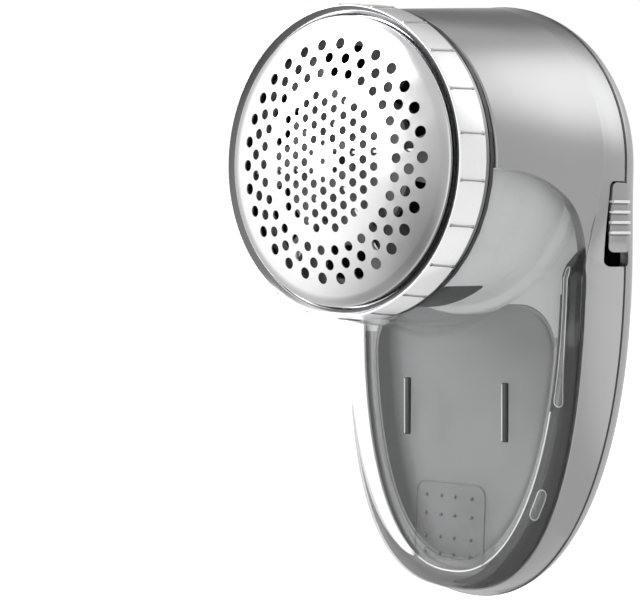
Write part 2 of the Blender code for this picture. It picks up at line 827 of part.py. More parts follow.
def rotor_spring(parent):
    """Coil that presses the rotor forwards from the hub's collar."""
    turns = 3
    per_turn = 12
    front = 11.35
    back = 14.55
    points = []
    for i in range(turns * per_turn + 1):
        angle = 2 * pi * i / per_turn
        depth = front + (back - front) * i / (turns * per_turn)
        points.append((3.4 * cos(angle), depth, 3.4 * sin(angle)))
    return wire("rotor_spring", points, 0.28, STEEL, parent)


# ---------------------------------------------------------------- motor


def motor(spin):
    cylinder("motor_shaft", SHAFT_RADIUS, -MOTOR_FRONT + GAP, -SHAFT_FRONT, 16, STEEL, spin)
    can_back = MOTOR_FRONT + MOTOR_CAN_LENGTH
    profile = (
        (1.4, MOTOR_FRONT + 0.2),
        (2.6, MOTOR_FRONT + 0.2),
        (2.6, MOTOR_FRONT + 0.5),
        (MOTOR_RADIUS - 0.6, MOTOR_FRONT + 0.5),
        (MOTOR_RADIUS, MOTOR_FRONT + 1.1),
        (MOTOR_RADIUS, can_back),
        (1.4, can_back),
    )
    can = front_turned("motor_can", profile, 32, STEEL, head)
    flats = [
        box("motor_flat_up", (-14, MOTOR_FRONT + 3, 10.2), (14, can_back + 2, 16), None, head),
        box("motor_flat_down", (-14, MOTOR_FRONT + 3, -16), (14, can_back + 2, -10.2), None, head),
    ]
    holes = [
        cylinder(f"motor_thread_{i + 1}", 1.2, -29.0, -20.0, 10, None, head, (x, 0, 0))
        for i, x in enumerate((8.0, -8.0))
    ]
    cut(can, *flats, *holes)
    bell_profile = (
        (0.0, can_back + GAP),
        (9.8, can_back + GAP),
        (9.8, can_back + MOTOR_BELL_LENGTH - 0.6),
        (9.2, can_back + MOTOR_BELL_LENGTH),
        (0.0, can_back + MOTOR_BELL_LENGTH),
    )
    front_turned("motor_end_bell", bell_profile, 32, WHITE, head)
    for i, x in enumerate((5.6, -5.6)):
        low = (x - 1.4, can_back + MOTOR_BELL_LENGTH + GAP, -0.3)
        high = (x + 1.4, can_back + MOTOR_BELL_LENGTH + 4.2, 0.3)
        box(f"motor_terminal_{i + 1}", low, high, BRASS, head)
        x = (8.0, -8.0)[i]
        screw = ((0, -18.3), (2.0, -18.7), (2.0, -19.8), (1.0, -19.8), (1.0, -25.0), (0, -25.0))
        turned(f"motor_screw_{i + 1}", screw, 16, STEEL, head, (x, 0, 0))


# ---------------------------------------------------------------- switch


def switch_knob():
    knob = box(
        "switch_knob", (37.4, KNOB_FRONT, KNOB_FOOT), (KNOB_FACE, KNOB_BACK, KNOB_TOP), SILVER, head
    )
    neck = box("knob_neck", (PLATE_OUTER - 0.6, 52.6, -16.4), (37.9, 56.2, -6.9), None, head)
    plate = box("knob_plate", (PLATE_INNER, 51.2, -20.2), (PLATE_OUTER, 58.7, -5.1), None, head)
    join(knob, neck, plate)
    for i in range(KNOB_RIBS):
        height = KNOB_RIB_TOP - KNOB_RIB_PITCH * i
        low = (KNOB_FACE - 0.4, KNOB_FRONT + 0.3, height - 0.35)
        high = (KNOB_FACE + KNOB_RIB_HEIGHT, KNOB_BACK - 0.3, height + 0.35)
        join(knob, box(f"knob_rib_{i + 1}", low, high, None, head))
    return knob


def slide_switch():
    body = box("slide_switch_body", (SLIDE_INNER, 52.0, -20.0), (SLIDE_OUTER, 57.0, -6.0), DARK, head)
    mouth = box("switch_mouth", (25.3, 53.1, -17.6), (SLIDE_OUTER + 1, 55.9, -8.0), None, head)
    cut(body, mouth)
    box("slide_switch_lever", (25.6, 53.5, -13.0), (PLATE_INNER - GAP, 55.5, -9.0), BLACK, head)


# ---------------------------------------------------------------- power and fasteners


def circuit_board():
    low = (-17.0, BOARD_DEPTH, BOARD_FOOT)
    high = (24.0, BOARD_DEPTH + BOARD_THICKNESS, 13.0)
    board = box("circuit_board", low, high, BOARD_GREEN, head)
    coil = cylinder("board_coil", 3.0, -BOARD_DEPTH - 4.2, -BOARD_DEPTH - 1.0, 14, None, head, (14.0, 0, -22.0))
    chip = box("board_chip", (-8.0, BOARD_DEPTH + 1, -16.0), (-2.0, BOARD_DEPTH + 2.8, -10.0), None, head)
    join(board, coil, chip)


def cells():
    middle = CELL_TOP - CELL_LENGTH / 2
    depth = SEAM_DEPTH + 6.6 + LEAN * middle
    tilt = -LEAN
    half = CELL_LENGTH / 2
    for i, x in enumerate((-CELL_X, CELL_X)):
        profile = (
            (0, half),
            (1.6, half),
            (1.6, half - 1.2),
            (CELL_RADIUS - 0.5, half - 1.4),
            (CELL_RADIUS, half - 2.0),
            (CELL_RADIUS, -half),
            (0, -half),
        )
        cell = turned(f"battery_cell_{i + 1}", profile, 20, CELL_GREEN, head, (x, depth, middle), "up")
        cell.rotation_euler = (tilt, 0.0, 0.0)
    holder = as_object(
        "battery_holder",
        box_mesh("battery_holder", (-13.4, -3.2, -half - 2.2), (13.4, 3.6, half + 2.2)),
        BLACK,
        head,
        (0, depth, middle),
        (tilt, 0.0, 0.0),
    )
    room = as_object(
        "cell_room",
        box_mesh("cell_room", (-11.6, -8.0, -half - 0.5), (11.6, 8.0, half + 0.5)),
        None,
        head,
        (0, depth, middle),
        (tilt, 0.0, 0.0),
    )
    cut(holder, room)


def charging():
    socket = box("charge_socket", (-4.4, 55.7, -95.2), (4.4, 58.9, -88.4), STEEL, head)
    mouth = box("socket_mouth", (-3.7, 56.4, -97.0), (3.7, 58.2, -89.4), None, head)
    cut(socket, mouth)
    back = SEAM_DEPTH + COVER_DEPTH + LEAN * LED_HEIGHT
    lens = (
        (0, back - 0.1),
        (LED_RADIUS - 0.4, back - 0.2),
        (LED_RADIUS, back - 0.5),
        (LED_RADIUS, back - 3.2),
        (0, back - 3.2),
    )
    turned("charge_led", lens, 16, LENS, head, (0, 0, LED_HEIGHT), "back")


def rear_screws():
    for i, (x, z) in enumerate(SCREW_PLACES):
        floor = SEAM_DEPTH + LEAN * z + WELL_FLOOR + GAP
        profile = (
            (0, floor + 0.7),
            (0.7, floor + 1.5),
            (SCREW_HEAD_RADIUS, floor + 1.4),
            (SCREW_HEAD_RADIUS, floor),
            (SCREW_SHANK_RADIUS, floor),
            (SCREW_SHANK_RADIUS, floor - SCREW_LENGTH),
            (0, floor - SCREW_LENGTH - 0.6),
        )
        turned(f"rear_screw_{i + 1}", profile, 16, STEEL, head, (x, 0, z), "back")


def wires():
    motor_back = MOTOR_FRONT + MOTOR_CAN_LENGTH + MOTOR_BELL_LENGTH + 3.2
    for i, (x, look) in enumerate(((WIRE_X, RED), (-WIRE_X, BLACK))):
        corners = [
            (x, motor_back, 1.1),
            (x, motor_back + 0.2, 5.5),
            (x, motor_back + 3.5, 7.5),
            (x, BOARD_DEPTH - GAP, 7.5),
        ]
        wire(f"motor_wire_{i + 1}", smooth_path(corners, 4), WIRE_RADIUS, look, head)
        corners = [
            (x, BOARD_DEPTH - 2.6, BOARD_FOOT - 0.4),
            (x, BOARD_DEPTH - 3.0, BOARD_FOOT + 1.0),
            (x, BOARD_DEPTH - 3.8, BOARD_FOOT + 3.5),
            (x, BOARD_DEPTH - 2.6, BOARD_FOOT + 5.4),
            (x, BOARD_DEPTH - GAP, BOARD_FOOT + 5.6),
        ]
        wire(f"battery_wire_{i + 1}", smooth_path(corners, 3), WIRE_RADIUS, look, head)


# ---------------------------------------------------------------- assembly

clear_scene()
parts = new_collection("fabric_shaver")
cutters = new_collection("cutters")
head = new_empty("head_frame", (HEAD_X, HEAD_Y, HEAD_Z))
spin_axis = new_empty("spin_axis", (0, 0, 0), head)
ring_axis = new_empty("ring_axis", (0, 0, 0), head)

slot_cutter = switch_slot()
main_housing(slot_cutter)
rear_cover(slot_cutter)
lint_box()
foil()
foil_carrier()
guard_ring(ring_axis)
head_seal()
cutter_chamber()
rotor_disc(spin_axis)
for blade_number in range(1, BLADE_COUNT + 1):
    blade(blade_number, spin_axis)
drive_hub(spin_axis)
rotor_spring(spin_axis)
motor(spin_axis)
switch_knob()
slide_switch()
circuit_board()
cells()
charging()
rear_screws()
wires()
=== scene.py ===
"""Visual model of the fabric shaver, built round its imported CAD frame.

Shapes are worked out in the head frame of the CAD: origin at the foil's crown,
X to the switch side, Y backwards ("depth"), Z up the handle ("height"), in
millimetres. put() turns such a point into the world's metres.
"""

from math import atan2, cos, hypot, pi, radians, sin, sqrt

import bmesh
import bpy
from mathutils import Matrix, Vector
from mathutils.geometry import delaunay_2d_cdt

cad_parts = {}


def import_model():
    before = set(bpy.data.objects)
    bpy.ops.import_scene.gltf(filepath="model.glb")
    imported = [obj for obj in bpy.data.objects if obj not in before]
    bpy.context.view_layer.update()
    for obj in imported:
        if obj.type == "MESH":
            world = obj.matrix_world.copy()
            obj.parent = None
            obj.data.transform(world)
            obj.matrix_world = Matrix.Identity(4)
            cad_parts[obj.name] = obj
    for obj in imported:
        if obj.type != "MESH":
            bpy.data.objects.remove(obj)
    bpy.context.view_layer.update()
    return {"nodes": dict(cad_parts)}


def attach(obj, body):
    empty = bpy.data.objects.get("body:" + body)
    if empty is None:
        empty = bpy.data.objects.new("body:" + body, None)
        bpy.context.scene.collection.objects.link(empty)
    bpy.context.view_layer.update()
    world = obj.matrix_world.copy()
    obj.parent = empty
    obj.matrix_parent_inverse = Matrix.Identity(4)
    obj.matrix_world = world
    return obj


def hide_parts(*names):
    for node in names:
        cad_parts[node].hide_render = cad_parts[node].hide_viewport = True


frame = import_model()

MM = 0.001
HEAD = Vector((-0.42, -35.87, 98.5))
LEAN = 0.0524
GAP = 0.3

BARREL_FRONT = 15.4
BARREL_FRONT_RADIUS = 34.0
SEAM_DEPTH = 56.07
SEAM_RADIUS = 38.4
HEAD_DROP = -0.8
EDGE_DEPTH = 49.0
FACE_DEPTH = 47.2
RIB_FOOT = -52.8  # foot of the upper rib beside the rim, where the rim line turns from dark to a painted highlight
FLOOR_DROP = 42.0  # room under the toe for the lint box to slide down
WAIST_HEIGHT = -25.0
SEAM_EGG = (38.95, 73.5, 2.25)
EDGE_EGG = (33.6, 71.1, 2.65)
RIM_EGG = (28.6, 67.0, 2.3)
WALL = 2.0
COVER_DEPTH = 14.5
COVER_ROUNDING = 22.0
SCREW_PLACES = ((27.0, 14.4), (-27.0, 14.4), (21.9, -78.0), (-21.9, -78.0))
WELL_FLOOR = 4.4  # behind the seam, under the head of a rear screw
WELL_RADIUS = 2.6
TUBE_RADIUS = 3.4
BORE_RADIUS = 1.4
LED_HEIGHT = 24.0
LED_RADIUS = 1.4
CROWN_STEPS = 40
FLANK_STEPS = 10
TOE_STEPS = 48
WIRE_SIDES = 6

BOX_WALL = 1.6
BOX_TOP_REACH = 32.6
BOX_TOP_RISE = 23.0
BOX_TOP_POWER = 2.1
BOX_FILLET = 11.0
BOX_EDGE = 0.8  # rounding of the rim of the box
CASING_FILLET = 11.0
POCKET_EGG = (26.6, 64.6, 2.3)
POCKET_TOP = -31.0
POCKET_FOOT = -88.5
POCKET_CORNER = 10.0
POCKET_CORNER_X = 16.0  # centre of the rounding of the pocket's top corners
POCKET_DEPTH = 6.0
POCKET_WALL = 1.1

DOME_RATE = 0.004448
FOIL_RADIUS = 30.75
FOIL_THICKNESS = 0.35
FOIL_ROLL = 0.4
HOLE_PITCH = 3.1
HOLE_RINGS = ((18.76, 0.0, 1.05), (21.79, 6.0, 1.15), (24.75, 0.0, 1.25))
HOLES_PER_RING = 30
HOLE_SIDES = 18

RING_FRONT = 4.5
RING_BACK = 13.6
RING_RIBS = 22

SLOT_TOP = -3.8
SLOT_FOOT = -22.4
SLOT_FRONT = 51.0
SLOT_BACK = 56.45
KNOB_PITCH = 2.25

# Where the camera stands in the head frame, and its degrees round from the front, up, and of roll.
CAMERA_PLACE = (255.155, -279.102, -19.235)
CAMERA_TURN = (42.5276, 1.7536, -0.1243)
BASE_LIGHT = 0.62


# ------------------------------------------------------------------ helpers


def put(x, y, z):
    return (Vector((x, y, z)) + HEAD) * MM


def piece(name, build):
    """A new object whose mesh is filled in by a function."""
    work = bmesh.new()
    build(work)
    bmesh.ops.remove_doubles(work, verts=work.verts, dist=2e-6)
    bmesh.ops.recalc_face_normals(work, faces=work.faces)
    mesh = bpy.data.meshes.new(name)
    work.to_mesh(mesh)
    work.free()
    obj = bpy.data.objects.new(name, mesh)
    bpy.context.scene.collection.objects.link(obj)
    return obj


def dressed(obj, look, body, *replaced, slot=None, degrees=32):
    """Give a finished piece its material, its body and the nodes it stands for."""
    obj.data.shade_smooth()
    obj.data.set_sharp_from_angle(angle=radians(degrees))
    obj.data.materials.clear()
    obj.data.materials.append(look)
    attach(obj, body)
    if replaced:
        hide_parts(*replaced)
    return obj


def loft(name, rings, looped=False):
    """Closed rings of equal length joined by side faces, with flat ends or back to the first ring."""

    def build(work):
        rows = [[work.verts.new(put(*p)) for p in ring] for ring in rings]
        for near, far in zip(rows, rows[1:] + rows[:1] if looped else rows[1:]):
            for i in range(len(near)):
                j = (i + 1) % len(near)
                work.faces.new((near[i], near[j], far[j], far[i]))
        if not looped:
            work.faces.new(rows[0])
            work.faces.new(rows[-1])

    return piece(name, build)


def block(name, low, high, width=0.0):
    """A box between two corners, with rounded edges when it has a width."""

    def build(work):
        bmesh.ops.create_cube(work, size=1.0)
        for vert in work.verts:
            share = vert.co + Vector((0.5, 0.5, 0.5))
            vert.co = put(*(a + (b - a) * s for a, b, s in zip(low, high, share)))
        if width:
            bmesh.ops.bevel(
                work, geom=work.edges, offset=width * MM, segments=4, profile=0.5, affect="EDGES"
            )

    return piece(name, build)


def turned(name, profile, steps):
    """Turn (radius, depth) points about the head axis."""
    rings = []
    for i in range(steps):
        angle = 2 * pi * i / steps
        rings.append([(r * cos(angle), d, r * sin(angle)) for r, d in profile])
    return loft(name, rings, looped=True)


def tube(name, points, radius):
    """A thin round wire along a closed loop of head-frame points."""
    turns = [2 * pi * k / WIRE_SIDES for k in range(WIRE_SIDES)]
    rings = []
    for i, point in enumerate(points):
        along = (points[(i + 1) % len(points)] - points[i - 1]).normalized()
        side = along.cross(Vector((0, 1, 0))).normalized()
        up = side.cross(along)
        rings.append([point + (side * cos(turn) + up * sin(turn)) * radius for turn in turns])
    return loft(name, rings, looped=True)


def rounded(profile, width, steps=4):
    """Round the corners of a closed (radius, depth) profile."""
    out = []
    count = len(profile)
    for i in range(count):
        here = Vector(profile[i])
        before = Vector(profile[i - 1]) - here
        after = Vector(profile[(i + 1) % count]) - here
        reach = min(width, before.length * 0.45, after.length * 0.45)
        start = here + before.normalized() * reach
        end = here + after.normalized() * reach
        for k in range(steps + 1):
            t = k / steps
            out.append(tuple(start * (1 - t) ** 2 + here * 2 * t * (1 - t) + end * t * t))
    return out


def carve(obj, cutters=(), joined=()):
    """Apply unions and cuts to a piece, and remove the tools."""
    for tools, operation in ((joined, "UNION"), (cutters, "DIFFERENCE")):
        for tool in tools:
            modifier = obj.modifiers.new(tool.name, "BOOLEAN")
            modifier.operation = operation
            modifier.object = tool
            modifier.solver = "MANIFOLD"
    bpy.context.view_layer.update()
    seen = obj.evaluated_get(bpy.context.evaluated_depsgraph_get())
    mesh = bpy.data.meshes.new_from_object(seen)
    obj.modifiers.clear()
    obj.data = mesh
    for tool in (*cutters, *joined):
        bpy.data.objects.remove(tool, do_unlink=True)
    return obj


# ------------------------------------------------------------------ outlines


def barrel_radius(depth):
    share = (depth - BARREL_FRONT) / (SEAM_DEPTH - BARREL_FRONT)
    return BARREL_FRONT_RADIUS + (SEAM_RADIUS - BARREL_FRONT_RADIUS) * share


def superellipse(half_width, drop, power, share):
    angle = pi / 2 * share
    x = half_width * abs(cos(angle)) ** (2 / power)
    z = WAIST_HEIGHT - drop * abs(sin(angle)) ** (2 / power)
    return x, z


def egg_half(crown, egg):
    """(x, z) points from the crown of the head down the +X side to the toe."""
    points = []
    for i in range(CROWN_STEPS):
        angle = pi / 2 * (1 - i / CROWN_STEPS)
        points.append((crown * cos(angle), crown * sin(angle) + HEAD_DROP))
    for i in range(FLANK_STEPS):
        share = i / FLANK_STEPS
        ease = share * share * (3 - 2 * share)
        points.append((crown + (egg[0] - crown) * ease, HEAD_DROP + (WAIST_HEIGHT - HEAD_DROP) * share))
    for i in range(TOE_STEPS + 1):
        points.append(superellipse(*egg, i / TOE_STEPS))
    return points


def mirrored(half):
    start = 1 if half[0][0] < 1e-9 else 0
    stop = len(half) - 1 if half[-1][0] < 1e-9 else len(half)
    return half + [(-x, z) for x, z in reversed(half[start:stop])]


def on_plane(half, depth, lean=LEAN):
    return [(x, depth + lean * z, z) for x, z in mirrored(half)]


def inset_egg(egg, inset):
    return (egg[0] - inset, egg[1] - inset, egg[2])


def reach_of(half):
    """A function from an angle, counted from straight down, to an outline's distance from the head axis."""
    table = sorted((atan2(x, HEAD_DROP - z), hypot(x, z - HEAD_DROP)) for x, z in half)

    def reach(angle):
        if angle <= table[0][0]:
            return table[0][1]
        for (a, r), (b, q) in zip(table, table[1:]):
            if angle <= b:
                return r + (q - r) * (angle - a) / max(b - a, 1e-9)
        return table[-1][1]

    return reach


def soft_min(a, b, width):
    width = max(1e-6, min(width, a, b))
    share = max(width - abs(a - b), 0.0) / width
    return min(a, b) - share * share * width / 4


TOE_ANGLES = [90.0 * (i / 120) ** 1.3 for i in range(120)]
CROWN_ANGLES = [90.0 + 90.0 * i / 40 for i in range(41)]


def polar_half(reach, angles):
    """(x, z) points about the head axis at angles from straight down, the widest angle first."""
    half = []
    for degrees in reversed(angles):
        angle = radians(degrees)
        radius = reach(angle)
        half.append((radius * sin(angle), HEAD_DROP - radius * cos(angle)))
    return half


def polar_ring(depth, reach, lean, angles):
    return on_plane(polar_half(reach, angles), depth, lean)


def outward(before, after):
    """Direction away from the inside of an outline that runs clockwise from before to after."""
    along = (Vector(after) - Vector(before)).normalized()
    return Vector((-along.y, along.x))


def flare(depth, face_depth, outline, inset, fillet):
    """Reach of the barrel at a depth, widening in a concave fillet towards an outline."""
    plain = barrel_radius(depth) - inset
    crown = barrel_radius(face_depth) - inset
    height = max(0.0, 1 - (face_depth - depth) / fillet)
    grown = fillet * (1 - sqrt(max(0.0, 1 - height * height)))

    def reach(angle):
        room = outline(angle) - crown
        if room <= 0 or grown <= 0:
            return plain
        return plain + soft_min(grown, room, 2.0)

    return reach


def edge_steps(radius):
    """(inwards, backwards) steps round a free edge, or a single step of nothing for a sharp one."""
    turns = [pi / 2 * k / 3 for k in range(4)] if radius else [pi / 2]
    return [(radius * (1 - sin(turn)), radius * (1 - cos(turn))) for turn in turns]


def casing_lean(depth):
    return LEAN * (depth - BARREL_FRONT) / (EDGE_DEPTH - BARREL_FRONT)


def casing_rings(inset, front, step_depth, back, soft):
    """Outer surface of the casing, or its cavity when inset; soft rounds its free edges."""
    angles = TOE_ANGLES + CROWN_ANGLES
    edge = inset_egg(EDGE_EGG, inset)
    seam = inset_egg(SEAM_EGG, inset)
    step = barrel_radius(EDGE_DEPTH) - inset
    outline = reach_of(egg_half(step, edge))
    rings = []
    front_radius = barrel_radius(BARREL_FRONT) - inset
    for pull, behind in edge_steps(soft):
        rings.append(polar_ring(front + behind, lambda a: front_radius - pull, 0.0, angles))
    start = step_depth - CASING_FILLET
    for k in range(17):
        depth = start + (CASING_FILLET - soft) * k / 16
        reach = flare(depth, step_depth, outline, inset, CASING_FILLET)
        rings.append(polar_ring(depth, reach, casing_lean(depth), angles))
    for pull, behind in edge_steps(soft):
        reach = reach_of(egg_half(step, inset_egg(edge, pull)))
        rings.append(polar_ring(step_depth + behind, reach, LEAN, angles))
    if not soft:
        rings.append(polar_ring(back, reach_of(egg_half(SEAM_RADIUS - inset, seam)), LEAN, angles))
        return rings
    for ahead, pull in edge_steps(soft * 0.6):
        reach = reach_of(egg_half(SEAM_RADIUS - pull, inset_egg(seam, pull)))
        rings.append(polar_ring(back - ahead, reach, LEAN, angles))
    return rings


def cover_rings(inset, shares, soft):
    """Rings of the rear cover: an elliptical shoulder round a flat back."""
    rings = []
    for share in shares:
        angle = pi / 2 * share
        drawn_in = COVER_ROUNDING * (1 - cos(angle))
        egg = egg_half(SEAM_RADIUS - inset, inset_egg(SEAM_EGG, inset))
        wide = 1 - drawn_in / SEAM_EGG[0]
        tall = 1 - drawn_in / (SEAM_EGG[1] - 4.0)
        half = [(x * wide, WAIST_HEIGHT + (z - WAIST_HEIGHT) * tall) for x, z in egg]
        rings.append(on_plane(half, SEAM_DEPTH + GAP + (COVER_DEPTH - GAP) * sin(angle)))
    if soft:
        half = egg_half(SEAM_RADIUS - soft, inset_egg(SEAM_EGG, soft))
        rings[0] = on_plane(half, SEAM_DEPTH + GAP)
        half = egg_half(SEAM_RADIUS, SEAM_EGG)
        rings.insert(1, on_plane(half, SEAM_DEPTH + GAP + soft))
    return rings


def box_top_profile(clearance):
    """Side view (depth, height) of the curve where the lint box meets the casing."""
    steps = 40
    curve = []
    for i in range(steps + 1):
        angle = pi / 2 * (1 - i / steps)
        depth = BARREL_FRONT + BOX_TOP_REACH * cos(angle) ** (2 / BOX_TOP_POWER)
        height = WAIST_HEIGHT + (BOX_TOP_RISE + clearance) * sin(angle) ** (2 / BOX_TOP_POWER)
        curve.append((depth, height))
    return curve


def side_prism(name, profile):
    return loft(name, [[(x, depth, height) for depth, height in profile] for x in (-50.0, 50.0)])


# ------------------------------------------------------------------ materials


class Look:
    """A Principled material with procedural variation in colour, gloss and relief."""

    def __init__(self, name, colour, roughness, metallic=0.0, **sockets):
        self.material = bpy.data.materials.new(name)
        self.material.use_nodes = True
        self.tree = self.material.node_tree
        self.shader = self.tree.nodes["Principled BSDF"]
        self.colour = colour
        self.roughness = roughness
        self.set("Base Color", (*colour, 1.0))
        self.set("Roughness", roughness)
        self.set("Metallic", metallic)
        for key, value in sockets.items():
            self.set(key.replace("_", " ").title(), value)
        self.place = self.node("TexCoord").outputs["Object"]

    def set(self, socket, value):
        self.shader.inputs[socket].default_value = value

    def node(self, kind):
        return self.tree.nodes.new("ShaderNode" + kind)

    def link(self, source, socket):
        self.tree.links.new(source, socket)

    def noise(self, scale, detail=3.0):
        node = self.node("TexNoise")
        node.inputs["Scale"].default_value = scale
        node.inputs["Detail"].default_value = detail
        self.link(self.place, node.inputs["Vector"])
        return node.outputs["Fac"]

    def ranged(self, source, low, high, start=0.3, stop=0.7):
        """Spread the values of a source between start and stop over low to high."""
        node = self.node("MapRange")
        node.inputs["From Min"].default_value = start
        node.inputs["From Max"].default_value = stop
        node.inputs["To Min"].default_value = low
        node.inputs["To Max"].default_value = high
        self.link(source, node.inputs["Value"])
        return node.outputs["Result"]

    def vary_colour(self, source, spread):
        mix = self.node("Mix")
        mix.data_type = "RGBA"
        dark = [c * (1 - spread) for c in self.colour]
        light = [min(1.0, c * (1 + spread)) for c in self.colour]
        mix.inputs[6].default_value = (*dark, 1.0)
        mix.inputs[7].default_value = (*light, 1.0)
        self.link(self.ranged(source, 0.0, 1.0), mix.inputs[0])
        self.link(mix.outputs[2], self.shader.inputs["Base Color"])

    def vary_gloss(self, source, spread):
        low, high = self.roughness * (1 - spread), self.roughness * (1 + spread)
        self.link(self.ranged(source, low, high), self.shader.inputs["Roughness"])

    def paint_wall_shade(self, shade):
        """Painted shade: darken the faces that look sideways, fading out towards those that look forwards.
        """
        coords = self.node("TexCoord")
        split = self.node("SeparateXYZ")
        self.link(coords.outputs["Normal"], split.inputs[0])
        size = self.node("Math")
        size.operation = "ABSOLUTE"
        self.link(split.outputs["X"], size.inputs[0])
        mix = self.node("Mix")
        mix.data_type = "RGBA"
        mix.inputs[7].default_value = (shade, shade, shade, 1.0)
        self.link(self.ranged(size.outputs[0], 0.0, 1.0), mix.inputs[0])
        self.link(self.shader.inputs["Base Color"].links[0].from_socket, mix.inputs[6])
        self.link(mix.outputs[2], self.shader.inputs["Base Color"])

    def dense_edge(self, start, low, high):
        """Raise the alpha from low to high towards the silhouette."""
        layer = self.node("LayerWeight")
        layer.inputs["Blend"].default_value = 0.5
        alpha = self.ranged(layer.outputs["Facing"], low, high, start, 1.0)
        self.link(alpha, self.shader.inputs["Alpha"])

    def relief(self, source, strength, distance):
        bump = self.node("Bump")
        bump.inputs["Strength"].default_value = strength
        bump.inputs["Distance"].default_value = distance * MM
        self.link(source, bump.inputs["Height"])
        self.link(bump.outputs["Normal"], self.shader.inputs["Normal"])


def moulded(name, colour, roughness, painted_wall_shade=None):
    """Moulded plastic, finely textured and slightly uneven in gloss; its steep sides can get painted shade.
    """
    look = Look(name, colour, roughness)
    look.vary_colour(look.noise(90.0), 0.05)
    if painted_wall_shade is not None:
        look.paint_wall_shade(painted_wall_shade)
    look.vary_gloss(look.noise(260.0), 0.15)
    look.relief(look.noise(2600.0, 2.0), 0.12, 0.02)
    return look.material


def silver_paint():
    look = Look("silver_paint", (0.45, 0.45, 0.454), 0.23, 0.85, coat_weight=0.25, coat_roughness=0.12)
    look.vary_colour(look.noise(9000.0, 2.0), 0.07)
    look.vary_gloss(look.noise(70.0), 0.08)
    look.relief(look.noise(700.0, 2.0), 0.05, 0.01)
    return look.material


def polished_steel(name="polished_steel", roughness=0.16, shade=0.84):
    look = Look(name, (shade, shade, shade + 0.005), roughness, 1.0)
    look.vary_gloss(look.noise(120.0), 0.2)
    look.vary_colour(look.noise(35.0), 0.03)
    look.relief(look.noise(1500.0, 2.0), 0.02, 0.01)
    return look.material


def satin_ring():
    look = Look("satin_ring", (0.86, 0.86, 0.865), 0.22, 0.35, coat_weight=0.4, coat_roughness=0.08)
    look.vary_gloss(look.noise(160.0), 0.15)
    look.vary_colour(look.noise(2600.0, 2.0), 0.025)
    look.relief(look.noise(900.0, 2.0), 0.03, 0.01)
    return look.material


def smoky_clear():
    """Smoky transparent plastic, denser where it is seen edge on."""
    look = Look("smoky_clear", (0.16, 0.162, 0.164), 0.10, alpha=0.20, coat_weight=0.3)
    look.vary_gloss(look.noise(60.0), 0.3)
    look.vary_colour(look.noise(25.0), 0.06)
    look.relief(look.noise(130.0, 2.0), 0.04, 0.02)
    look.dense_edge(0.62, 0.20, 0.75)
    look.material.surface_render_method = "BLENDED"
    return look.material


def clear_edge(name, colour, alpha):
    """Denser clear plastic: for ribs, pads and bumps, and for the light and dark sheets that are painted
    highlights and painted shade.
    """
    look = Look(name, colour, 0.12, alpha=alpha, coat_weight=0.5)
    look.vary_gloss(look.noise(200.0), 0.25)
    look.vary_colour(look.noise(60.0), 0.08)
    look.relief(look.noise(400.0, 2.0), 0.04, 0.02)
    look.material.surface_render_method = "BLENDED"
    return look.material


def tinned_brass():
    look = Look("tinned_brass", (0.72, 0.55, 0.25), 0.3, 1.0)
    look.vary_gloss(look.noise(150.0), 0.2)
    look.relief(look.noise(900.0, 2.0), 0.05, 0.01)
    return look.material


SILVER = silver_paint()
# The ring's lip and ribs are darker copies of its metal: painted shade.
LIP = polished_steel("ring_lip", 0.16, 0.30)
HEM = polished_steel("ring_hem", 0.3, 0.30)
RIB = polished_steel("ring_rib", 0.25, 0.45)
STEEL = polished_steel()
BRIGHT_STEEL = polished_steel("blade_steel", 0.22)
RING = satin_ring()
SMOKE = smoky_clear()
RAIL = clear_edge("clear_rail", (0.50, 0.505, 0.51), 0.30)
# White sheet for a painted highlight down the left of the box.
LEFT_HIGHLIGHT = clear_edge("painted_highlight_band", (0.93, 0.935, 0.94), 0.93)
# Bright sheet for painted highlights: the rim line, the rib outlines and the bar glints.
HIGHLIGHT_LINE = clear_edge("painted_highlight_line", (0.85, 0.855, 0.86), 0.75)
# Dark see-through sheets for painted shade at the box's skirt.
SHADE = clear_edge("painted_shade_clear", (0.02, 0.02, 0.021), 0.34)
SHADE_TINT = clear_edge("skirt_shade_tint", (0.05, 0.05, 0.051), 0.16)
# Near black for the bars: painted shade.
BAR = moulded("bar_painted_shade", (0.03, 0.03, 0.031), 0.5)
PAD = clear_edge("clear_pad", (0.20, 0.202, 0.205), 0.12)
BUMP = clear_edge("clear_bump", (0.10, 0.10, 0.105), 0.8)
DARK = moulded("dark_plastic", (0.035, 0.035, 0.038), 0.4)
GREY = moulded("grey_plastic", (0.90, 0.905, 0.91), 0.30)
WHITE = moulded("white_plastic", (0.80, 0.80, 0.785), 0.42)
BLACK = moulded("black_plastic", (0.018, 0.018, 0.019), 0.4)
# Dark grey strip behind the box's skirt: painted shade.
BACK_SHADE = moulded("painted_shade_grey", (0.09, 0.09, 0.091), 0.45)
# The tray's sideways walls are darkened: painted shade.
LINER = moulded("tray_grey", (0.37, 0.373, 0.376), 0.5, painted_wall_shade=0.02)
ROTOR = moulded("rotor_white", (0.30, 0.30, 0.305), 0.4)
RED = moulded("red_insulation", (0.50, 0.03, 0.02), 0.4)
BOARD = moulded("board_green", (0.03, 0.16, 0.07), 0.35)
CELL_WRAP = moulded("cell_wrap", (0.10, 0.34, 0.16), 0.28)
LENS = moulded("led_lens", (0.75, 0.85, 0.75), 0.15)
BRASS = tinned_brass()


# ------------------------------------------------------------------ casing


def switch_slot(name):
    return block(name, (34.0, SLOT_FRONT, SLOT_FOOT), (42.0, SLOT_BACK, SLOT_TOP), 1.3)


